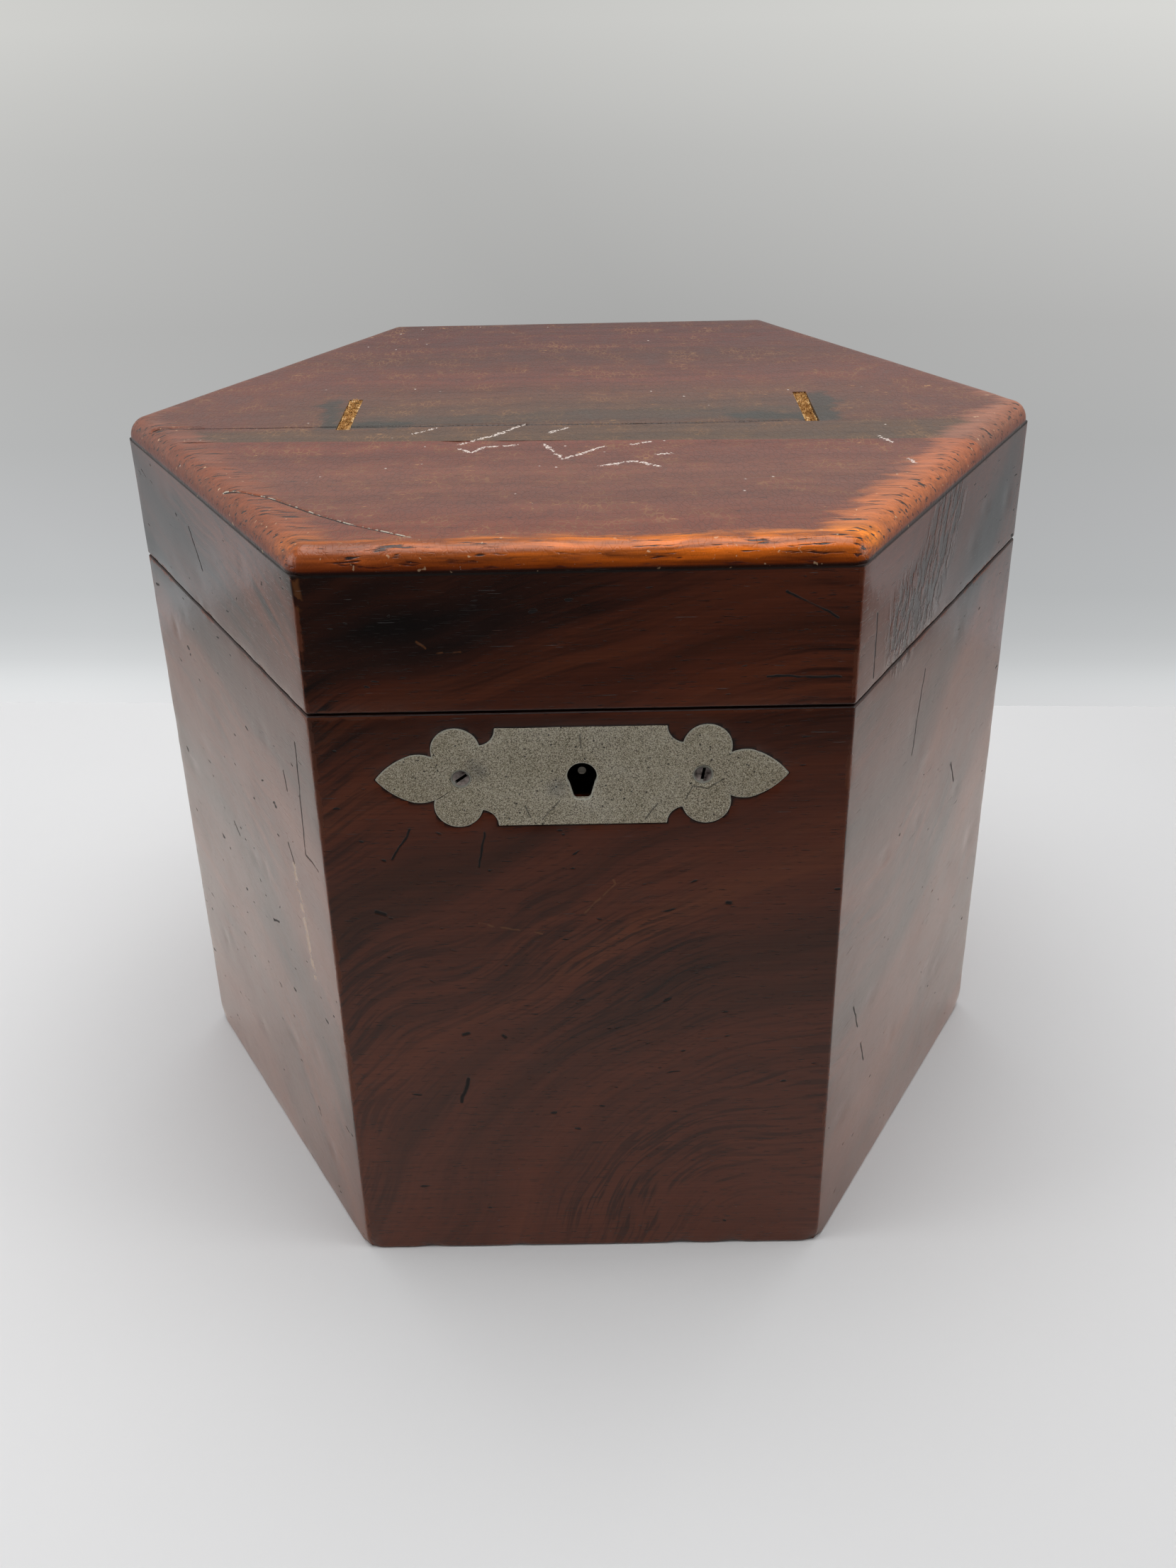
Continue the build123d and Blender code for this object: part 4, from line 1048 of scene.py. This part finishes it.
# %% Lathe and slot
def turned(name, profile, count=28):
    """Solid of revolution about Z from (radius, height) points in mm, from one pole to the other."""
    bm = bmesh.new()
    rings = []
    for radius, height in profile:
        angles = np.linspace(0, 2 * math.pi, count, endpoint=False) if radius > 0 else [0.0]
        rings.append([bm.verts.new((radius * math.cos(a) * MM, radius * math.sin(a) * MM, height * MM))
                      for a in angles])
    for low, high in zip(rings, rings[1:]):
        for i in range(count):
            j = (i + 1) % count
            corners = [low[i % len(low)], low[j % len(low)], high[j % len(high)], high[i % len(high)]]
            bm.faces.new(list(dict.fromkeys(corners)))
    bmesh.ops.recalc_face_normals(bm, faces=bm.faces)
    return finished(bm, name)


def screw(name, shank, head, length, slot_width=0.5, slot_depth=0.42):
    """Countersunk screw whose head is at the origin and whose shank points up, sizes in mm."""
    obj = turned(name, [(0, 0), (head - 0.22, 0), (head - 0.04, 0.09), (shank, head - shank),
                        (shank, length - 1.6), (0.2, length - 0.1), (0, length)])
    bm = bmesh.new()
    bmesh.ops.create_cube(bm, size=1.0)
    bmesh.ops.scale(bm, vec=(4 * head * MM, slot_width * MM, 2 * slot_depth * MM), verts=bm.verts)
    cutter = finished(bm, name + "_cutter")
    slot = obj.modifiers.new("slot", "BOOLEAN")
    slot.object = cutter
    slot.solver = "EXACT"
    settled(obj)
    bpy.data.objects.remove(cutter)
    return obj


# %% Tree that sets pieces in place
def end_of(tree, instances, finish):
    """Last nodes of a geometry tree: real meshes with their material."""
    real = add(tree, "GeometryNodeRealizeInstances", {0: instances})
    done = add(tree, "GeometryNodeSetMaterial", {"Geometry": real, "Material": finish})
    add(tree, "NodeGroupOutput", {0: done})


setting, inside = node_group(
    "set pieces in place", "Geometry",
    {"Geometry": "Geometry", "Piece": "Object", "Size": "Float", "Loose Turn": "Float", "Seed": "Int",
     "Finish": "Material"}, {"Geometry": "Geometry"})
piece = add(setting, "GeometryNodeObjectInfo", {"Object": inside["Piece"]}, out="Geometry")
aim = add(setting, "GeometryNodeInputNamedAttribute", {"Name": "aim"}, data_type="FLOAT_VECTOR")
slot_turn = add(setting, "GeometryNodeInputNamedAttribute", {"Name": "turn"}, data_type="FLOAT")
loose = add(setting, "FunctionNodeRandomValue",
            {"Min": 0.0, "Max": inside["Loose Turn"], "Seed": inside["Seed"]}, out="Value", data_type="FLOAT")
pointed = add(setting, "FunctionNodeAlignRotationToVector", {"Vector": aim}, axis="Z")
spin = add(setting, "Math ADD", slot_turn, loose)
spin = add(setting, "FunctionNodeAxisAngleToRotation", {"Angle": spin})
rotation = add(setting, "FunctionNodeRotateRotation", {"Rotation": pointed, "Rotate By": spin},
               rotation_space="LOCAL")
copies = add(setting, "GeometryNodeInstanceOnPoints", {"Points": inside["Geometry"], "Instance": piece,
                                                       "Rotation": rotation, "Scale": inside["Size"]})
end_of(setting, copies, inside["Finish"])


def grown(obj, tree, **sizes):
    """Runs a geometry node tree on an object with named inputs, and keeps the plain mesh."""
    modifier = obj.modifiers.new(tree.name, "NODES")
    modifier.node_group = tree
    wanted = {name.replace("_", " ").title(): value for name, value in sizes.items()}
    for socket in tree.interface.items_tree:
        if socket.in_out == "INPUT" and socket.name in wanted:
            modifier[socket.identifier] = wanted[socket.name]
    return settled(obj)


def set_in_place(name, piece, way, places, finish, loose_turn=0.0, seed=1):
    """Copies of a piece whose shanks point one way, at places (x, y, z in mm, turn in degrees)."""
    mesh = bpy.data.meshes.new(name)
    mesh.from_pydata([Vector(place[:3]) * MM for place in places], [], [])
    ways = mesh.attributes.new("aim", "FLOAT_VECTOR", "POINT")
    ways.data.foreach_set("vector", np.array([way] * len(places), np.float32).ravel())
    turns = mesh.attributes.new("turn", "FLOAT", "POINT")
    turns.data.foreach_set("value", np.radians([place[3] for place in places]).astype(np.float32))
    return grown(placed(name, mesh), setting, piece=piece, size=1.0, loose_turn=loose_turn, seed=seed,
                 finish=finish)


# %% Set every fastener
rim_y = sum(corner.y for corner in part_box("link_plate")) / 2 / MM
inside_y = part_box("lock_back_plate")[1].y / MM
leaf_y = 86.65
hinge_middle, hinge_pitch = 30, 9
link_screw_x = 16
lock_screw_x, lock_screw_heights = 22.3, (118.55, 136.6)
brad_ring, brad_along = 85, 25
tack_x, tack_y, tack_z, tack_pitch = 43.7, -2.1, 167.4, 8
sunk = 0.05
any_turn = 3.1
plate_screw = screw("plate_screw", 0.9, 1.7, 5.6, 0.62)
small_screw = screw("small_screw", 0.85, 1.45, 5.6)
long_screw = screw("long_screw", 0.85, 1.45, 8.0)
brad = turned("brad", [(0, 0), (1.15, 0), (1.3, 0.15), (1.3, 0.5), (1.15, 0.6), (0.7, 0.6), (0.7, 13.5),
                       (0, 15)], 14)
tack = turned("tack", [(0, 0), (1.2, 0.1), (1.9, 0.4), (2.0, 0.58), (0.6, 0.6), (0.6, 4.6), (0, 5.8)], 18)

hinge_x = [side * hinge_middle + step for side in (-1, 1) for step in (-hinge_pitch, 0, hinge_pitch)]
brad_spots = [(*(facing(number) * brad_ring + np.cross(up, facing(number)) * along)[:2], sunk, 0)
              for number in range(6) for along in (-brad_along, brad_along)]
front_y = -half_across + sunk
fasteners = {
    "lock_plate_screws": set_in_place(
        "lock_plate_screws_turned", plate_screw, rearward,
        [(-plate_screw_x, front_y, lock_height, -35), (plate_screw_x, front_y, lock_height, 100)],
        rubbed_iron_shaded_slots),
    "lock_screws": set_in_place(
        "lock_screws_turned", small_screw, -rearward,
        [(x, inside_y - sunk, z, 0) for x in (-lock_screw_x, lock_screw_x) for z in lock_screw_heights],
        iron, any_turn, 4),
    "link_plate_screws": set_in_place(
        "link_screws_turned", long_screw, up,
        [(x, rim_y, lid_low + sunk, 0) for x in (-link_screw_x, link_screw_x)], brass, any_turn, 5),
    "hinge_body_screws": set_in_place(
        "hinge_body_screws_turned", long_screw, down,
        [(x, leaf_y, body_top - sunk, 0) for x in hinge_x], brass, any_turn, 6),
    "hinge_lid_screws": set_in_place(
        "hinge_lid_screws_turned", long_screw, up,
        [(x, leaf_y, lid_low + sunk, 0) for x in hinge_x], brass, any_turn, 7),
    "bottom_brads": set_in_place("bottom_brads_headed", brad, up, brad_spots, iron),
    "strap_tacks": set_in_place(
        "strap_tacks_domed", tack, up,
        [(side * tack_x, tack_y + step, tack_z, 0) for side in (-1, 1)
         for step in (-tack_pitch, 0, tack_pitch)], iron),
}
for obj in (plate_screw, small_screw, long_screw, brad, tack):
    bpy.data.objects.remove(obj)
print("fasteners:", {name: len(o.data.polygons) for name, o in fasteners.items()})
for node, obj in fasteners.items():
    points = points_of(obj)
    low, high = (np.array(corner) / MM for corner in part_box(node))
    gap = max(np.linalg.norm(points.min(axis=0) - low), np.linalg.norm(points.max(axis=0) - high))
    print(" ", node, "differs from its CAD box by at most", round(gap, 2), "mm")

# %% [markdown]
# ## The rest of the metal
#
# These pieces have the right shape in the CAD already, so they stay as they are and only get the
# metals. The inside of the lock is painted nearly black, for a century of oil and dust and for the
# shade inside it, which is why nothing but the round end of the drill pin shows in the keyhole.

# %% Oiled brass in painted shade, and metals on the CAD nodes
grime_and_shade = old_metal("brass inside the lock, black with old oil and painted shade", "#4a3b24", "#281f14", "#120d09", 0.5)
springy = old_metal("spring steel, blued", "#6a6f78", "#474a50", "#2b2b2e", 0.34)
finishes = {"lock_cap": grime_and_shade, "lock_ward": grime_and_shade, "lock_pillars": grime_and_shade, "lock_bolt": brass,
            "bolt_spring": springy, "lock_drill_pin": iron, "hinge_pin_left": iron, "hinge_pin_right": iron}
for node, finish in finishes.items():
    covered(frame["nodes"][node].data, finish)
print("metals given to", len(finishes), "CAD nodes")

# %% [markdown]
# ## Leather strap ends
#
# The strap was cut off flush long ago. What is left in each slot is the raw end of the leather: a
# mat of loose tan fibres, ragged and a little proud on the left, worn down nearly flush on the
# right. Below the top the strap turns flat and is tacked. The body of each stub is a scored and
# roughened copy of the CAD solid, and the mat is real fibres: a geometry node tree scatters
# points over the cut end and sets a short bent hair on each.

# %% Tan leather
def tan_leather():
    """Vegetable tanned leather: pores 0.5 mm apart, fibres where it is cut, darker where it was handled."""
    material, tree, shader, place = new_material("vegetable tanned leather, raw edge")
    mottle = add(tree, "TexNoise", {"Vector": place, "Scale": 700.0, "Detail": 4.0, "Roughness": 0.7})
    raw = add(tree, "ValToRGB", mottle,
              stops=[(0.34, "#553615"), (0.46, "#a97a3f"), (0.58, "#d3a76b"), (0.7, "#ecd3a6")])
    soft = add(tree, "TexNoise", {"Vector": place, "Scale": 180.0, "Detail": 3.0})
    soft = add(tree, "ValToRGB", soft, stops=[(0.35, "#7c5227"), (0.65, "#9b6b38")])
    near_cut = add(tree, "SeparateXYZ", place, out="Z")
    near_cut = add(tree, "MapRange", near_cut, (case_top - 3) * MM, (case_top - 2) * MM)
    pore = add(tree, "TexVoronoi", {"Vector": place, "Scale": 2200.0})
    pore = add(tree, "MapRange", pore, 0.05, 0.3, 0.55, 0.0)
    hide = layered(soft, (near_cut, raw), (pore, "#4a2c12"))
    feed(shader, {"Base Color": hide, "Roughness": 0.82, "Specular IOR Level": 0.25,
                  "Normal": relief([(mottle, 0.25), (pore, -0.08)])})
    return material


leather = tan_leather()

# %% One hair, and the tree that plants them
bm = bmesh.new()
bend = [(0, 0, 0), (0.03, 0, 0.32), (0.12, 0.04, 0.6), (0.28, 0.1, 0.8)]
rings = []
for step, (x, y, z) in enumerate(bend):
    thick = 0.09 * (1 - 0.22 * step)
    rings.append([bm.verts.new(Vector((x + thick * math.cos(a), y + thick * math.sin(a), z)) * MM)
                  for a in (0, 2 * math.pi / 3, 4 * math.pi / 3)])
for low, high in zip(rings, rings[1:]):
    for i in range(3):
        bm.faces.new((low[i], low[(i + 1) % 3], high[(i + 1) % 3], high[i]))
bm.faces.new(rings[0][::-1])
bm.faces.new(rings[-1])
bmesh.ops.recalc_face_normals(bm, faces=bm.faces)
hair = finished(bm, "hair", 60)

planting, inside = node_group(
    "mat of loose fibres", "Geometry",
    {"Geometry": "Geometry", "Hair": "Object", "Density": "Float", "Lean": "Float", "Seed": "Int",
     "Finish": "Material"}, {"Geometry": "Geometry"})
spots = add(planting, "GeometryNodeDistributePointsOnFaces",
            {"Mesh": inside["Geometry"], "Density": inside["Density"], "Seed": inside["Seed"]},
            distribute_method="RANDOM")
piece = add(planting, "GeometryNodeObjectInfo", {"Object": inside["Hair"]}, out="Geometry")
spread = add(planting, "Math MULTIPLY", inside["Lean"], -1.0)
least = add(planting, "CombineXYZ", {0: spread, 1: spread, 2: -math.pi})
most = add(planting, "CombineXYZ", {0: inside["Lean"], 1: inside["Lean"], 2: math.pi})
turn = add(planting, "FunctionNodeRandomValue", {"Min": least, "Max": most, "Seed": inside["Seed"]},
           data_type="FLOAT_VECTOR")
size = add(planting, "FunctionNodeRandomValue", {2: 0.55, 3: 1.0, "Seed": 9}, out=1, data_type="FLOAT")
copies = add(planting, "GeometryNodeInstanceOnPoints", {"Points": spots, "Instance": piece,
                                                        "Rotation": turn, "Scale": size})
end_of(planting, copies, inside["Finish"])

# %% Two ragged stubs
def worn_down(points, ragged, seed):
    """How far each point of a stub's raw end has sunk, in mm, but for its even part."""
    lump = 0.5 + 0.5 * drift(points, 2.4, seed) + 0.35 * drift(points, 0.9, seed + 1)
    return ragged + 0.7 * (1 - np.clip(lump, 0, 1))


stubs = {}
across_bed, along_bed = 6, 42
for side, ragged, seed in (("left", 0.0, 31), ("right", 0.45, 57)):
    node = "strap_stub_" + side
    low, high = (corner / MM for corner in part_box(node))
    bm = own_copy(node)
    cuts = rows(rightward, low.x, high.x, 0.5) + rows(rearward, low.y, high.y, 0.6)
    score(bm, [(up, high.z)], cuts, depth=1.2)
    body = finished(bm, node + "_body", 50)
    points = points_of(body)
    raw_end = points[:, 2] > high.z - 0.4
    points[:, 2] -= raw_end * (0.75 + worn_down(points, ragged, seed))
    set_points(body, points)
    covered(body.data, leather)

    ends = points[raw_end][:, 0]
    bed = bpy.data.meshes.new(node + "_bed")
    spots = np.array([(x, y, high.z) for x in np.linspace(ends.min() + 0.25, ends.max() - 0.25, across_bed)
                      for y in np.linspace(low.y + 0.3, high.y - 0.3, along_bed)])
    spots[:, 2] -= 0.8 + worn_down(spots, ragged, seed)
    first = [i * along_bed + j for i in range(across_bed - 1) for j in range(along_bed - 1)]
    bed.from_pydata((spots * MM).tolist(), [], [(k, k + along_bed, k + along_bed + 1, k + 1) for k in first])
    mat = placed(node + "_fibres", bed)
    grown(mat, planting, hair=hair, density=11e6, lean=1.0, seed=seed, finish=leather)
    stubs[node] = (body, mat)
    print(node, "fibres:", len(mat.data.polygons) // 11, "highest", round(points_of(mat)[:, 2].max(), 2),
          "of", round(high.z, 2), "mm")
bpy.data.objects.remove(hair)

# %% [markdown]
# ## Baize
#
# The inside is lined with baize, a felted woollen cloth, glued to every wall, the floor and the
# lid. Its weave hardly shows under a short nap that takes the light softly at a glance, so the
# material gets fine mottling, a sheen and loose hairs of a paler green. Glued cloth is never quite
# flat, and its cut edge along the rim is soft. Each piece is a scored copy of its CAD sheet, whose
# free face sinks a little in places and rounds off along the cut. The corner blocks that hold the
# instrument are wood with the same baize pulled over them, six alike in a ring.

# %% Green wool baize
def wool_baize():
    """Felted wool: nap about 0.4 mm long, mottled by 6 mm patches that brushing has turned."""
    material, tree, shader, place = new_material("wool baize, green")
    brushed = add(tree, "TexNoise", {"Vector": place, "Scale": 160.0, "Detail": 4.0, "Roughness": 0.6})
    cloth = add(tree, "ValToRGB", brushed, stops=[(0.3, "#2f4a37"), (0.5, "#3c5c45"), (0.7, "#486b50")])
    nap = add(tree, "TexNoise", {"Vector": place, "Scale": 2400.0, "Detail": 3.0, "Roughness": 0.7})
    loose = add(tree, "TexNoise", {"Vector": place, "Scale": 500.0}, out="Color")
    loose = add(tree, "VectorMath MULTIPLY_ADD", loose, 0.004, place)
    hairs = patches(loose, (3200, 500, 900), 0.66, 0.72, 0.0, 0.5, detail=1.0)
    cloth = layered(toned(cloth, nap, 0.3, 0.7, 0.7, 1.3), (hairs, "#7d9a7c"))
    feed(shader, {"Base Color": cloth, "Roughness": 0.95, "Specular IOR Level": 0.1, "Sheen Weight": 0.35,
                  "Sheen Tint": "#b9cbb6", "Normal": relief([(nap, 0.22), (hairs, 0.12)])})
    return material


baize = wool_baize()

# %% Fourteen glued sheets
inside_half = -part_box("wall_front")[1].y / MM
lined_half = inside_half - (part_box("lining_floor")[1].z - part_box("lining_floor")[0].z) / MM
side_half = inside_half / math.sqrt(3)
soft_edge = 1.2


def glued_sheet(node, free, offset, cuts, rim=None):
    """Copy of a sheet whose free face, at an offset along a direction, is uneven; returned with its area."""
    bm = own_copy(node)
    area = sum(face.calc_area() for face in bm.faces if face.normal.dot(Vector(free)) > 0.99)
    score(bm, [(free, offset)], cuts, depth=0.6)
    obj = finished(bm, node + "_glued", 40)
    points = points_of(obj)
    skin = offset - points @ free < 0.3
    across = np.abs(points @ np.cross(up, free)) if free[2] == 0 else np.zeros(len(points))
    away = np.clip((side_half - 2 - across) / 5, 0, 1)
    sink = away * (0.16 + 0.16 * drift(points, 14.0, 8) + 0.05 * drift(points, 3.5, 9))
    if rim is not None:
        sink += 0.35 * np.clip(1 - np.abs(points[:, 2] - rim) / soft_edge, 0, 1)
    set_points(obj, points - (skin * sink)[:, None] * free)
    covered(obj.data, baize)
    return obj, area


sheets = {}
for number, side in enumerate(SIDES):
    outward = facing(number)
    for prefix, wall in (("lining_", "wall_"), ("lid_lining_", "lid_wall_")):
        low, high = (corner.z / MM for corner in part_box(prefix + side))
        rim, inner = (high, high - soft_edge) if wall == "wall_" else (low, low + soft_edge)
        cuts = rows(np.cross(up, outward), -side_half, side_half, 3.4) + rows(up, low, high, 3.4)
        obj, area = glued_sheet(prefix + side, -outward, -lined_half, [*cuts, (up * inner, up)], rim)
        sheets[prefix + side] = (obj, (2 * side_half * MM, (high - low) * MM), area, "stretched", wall + side)
cuts = rows(rightward, -2 * side_half, 2 * side_half, 4.0) + rows(rearward, -inside_half, inside_half, 4.0)
for node, free, offset, held, board in (
        ("lining_floor", up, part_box("lining_floor")[1].z / MM, "laid", "bottom_board"),
        ("lid_lining_top", down, -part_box("lid_lining_top")[0].z / MM, "stretched", "top_board_rear")):
    obj, area = glued_sheet(node, free, offset, cuts)
    sheets[node] = (obj, (4 * side_half * MM, 2 * inside_half * MM), area, held, board)
for node, (obj, flat, area, held, board) in sheets.items():
    print(node, "flat", [round(length / MM, 1) for length in flat], "mm, area", round(area * 1e4, 1), "cm2")

# %% One corner block, and the tree that sets six in a ring
ring, inside = node_group("ring of six", "Geometry",
                          {"Geometry": "Geometry", "Count": "Int", "Finish": "Material"},
                          {"Geometry": "Geometry"})
places = add(ring, "GeometryNodeMeshLine", {"Count": inside["Count"], "Offset": (0, 0, 0)})
step = add(ring, "Math DIVIDE", 2 * math.pi, inside["Count"])
turn = add(ring, "Math MULTIPLY", add(ring, "GeometryNodeInputIndex"), step)
turn = add(ring, "CombineXYZ", {2: turn})
copies = add(ring, "GeometryNodeInstanceOnPoints", {"Points": places, "Instance": inside["Geometry"],
                                                    "Rotation": turn})
end_of(ring, copies, inside["Finish"])

blocks = {}
point = 2 * lined_half / math.sqrt(3)
back = point - 11.0
half = (point - back) * math.sqrt(3)
for node in ("corner_blocks", "lid_corner_blocks"):
    low, high = (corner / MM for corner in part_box(node))
    bm = bmesh.new()
    rim = [[bm.verts.new(Vector((x, y, z)) * MM) for x, y in ((point, 0), (back, half), (back, -half))]
           for z in (low.z, high.z)]
    bm.faces.new(rim[0][::-1])
    bm.faces.new(rim[1])
    for i in range(3):
        bm.faces.new((rim[0][i], rim[0][(i + 1) % 3], rim[1][(i + 1) % 3], rim[1][i]))
    bmesh.ops.recalc_face_normals(bm, faces=bm.faces)
    bmesh.ops.bevel(bm, geom=list(bm.edges), offset=0.9 * MM, segments=3, profile=0.5, affect="EDGES")
    for at, way in rows(rearward, -half, half, 2.4) + rows(up, low.z, high.z, 2.4):
        bmesh.ops.bisect_plane(bm, geom=[*bm.verts, *bm.edges, *bm.faces], plane_co=Vector(at) * MM,
                               plane_no=Vector(way))
    obj = finished(bm, node + "_covered", 60)
    points = points_of(obj)
    points[:, 0] += (points[:, 0] < back + 0.5) * (0.2 + 0.2 * drift(points, 6.0, 12))
    set_points(obj, points)
    blocks[node] = grown(obj, ring, count=6, finish=baize)
print("corner blocks:", {node: len(o.data.polygons) for node, o in blocks.items()})

# %% [markdown]
# ## The underside
#
# The bottom board is the same wood left bare: planed, never polished, paler than the walls, and
# darkened where a century of shelves has rubbed it. Plane strokes leave shallow tracks 40 mm wide.

# %% Bare mahogany
material, tree, shader, place = new_material("bare mahogany, planed")
streak = pulled(place, (12, 420, 420), detail=5.0, roughness=0.6)
wood = add(tree, "ValToRGB", streak, stops=[(0.3, "#5f3d29"), (0.5, "#835a3d"), (0.7, "#9c7150")])
pores = patches(place, (260, 3800, 3800), 0.62, 0.7, detail=1.0)
rubbed = patches(place, 34.0, 0.48, 0.7, 0.0, 0.6, detail=5.0)
wood = layered(wood, (pores, "#3a2417"), (rubbed, "#3d2c22"))
track = add(tree, "TexWave", {"Vector": place, "Scale": 7.8, "Distortion": 1.0}, out="Fac",
            bands_direction="Y")
feed(shader, {"Base Color": wood, "Roughness": 0.72,
              "Normal": relief([(track, 0.25), (streak, 0.08), (pores, -0.08)])})
covered(frame["nodes"]["bottom_board"].data, material)
print("bottom board:", material.name)

# %% [markdown]
# ## Which piece moves with what
#
# Every piece rides on one of the three bodies: the case, the lid or the bolt. Each one stands in
# for a CAD node, which stays behind it, unseen, for the physics.

# %% Ride and replace
owners = {node: body for body, nodes in frame["record"]["behaviour"]["bodies"].items() for node in nodes}
dressed = {**walls, **top_boards, **plates, **fasteners, **blocks,
           **{node: facts[0] for node, facts in sheets.items()}}
for node, obj in dressed.items():
    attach(obj, owners[node])
    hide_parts(node)
for node, (body, mat) in stubs.items():
    for obj in (body, mat):
        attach(obj, owners[node])
    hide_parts(node)
for node, (obj, flat, area, held, board) in sheets.items():
    min(area, flat[0] * flat[1])
print("pieces:", len(dressed) + 2 * len(stubs), "of which sheets:", len(sheets))
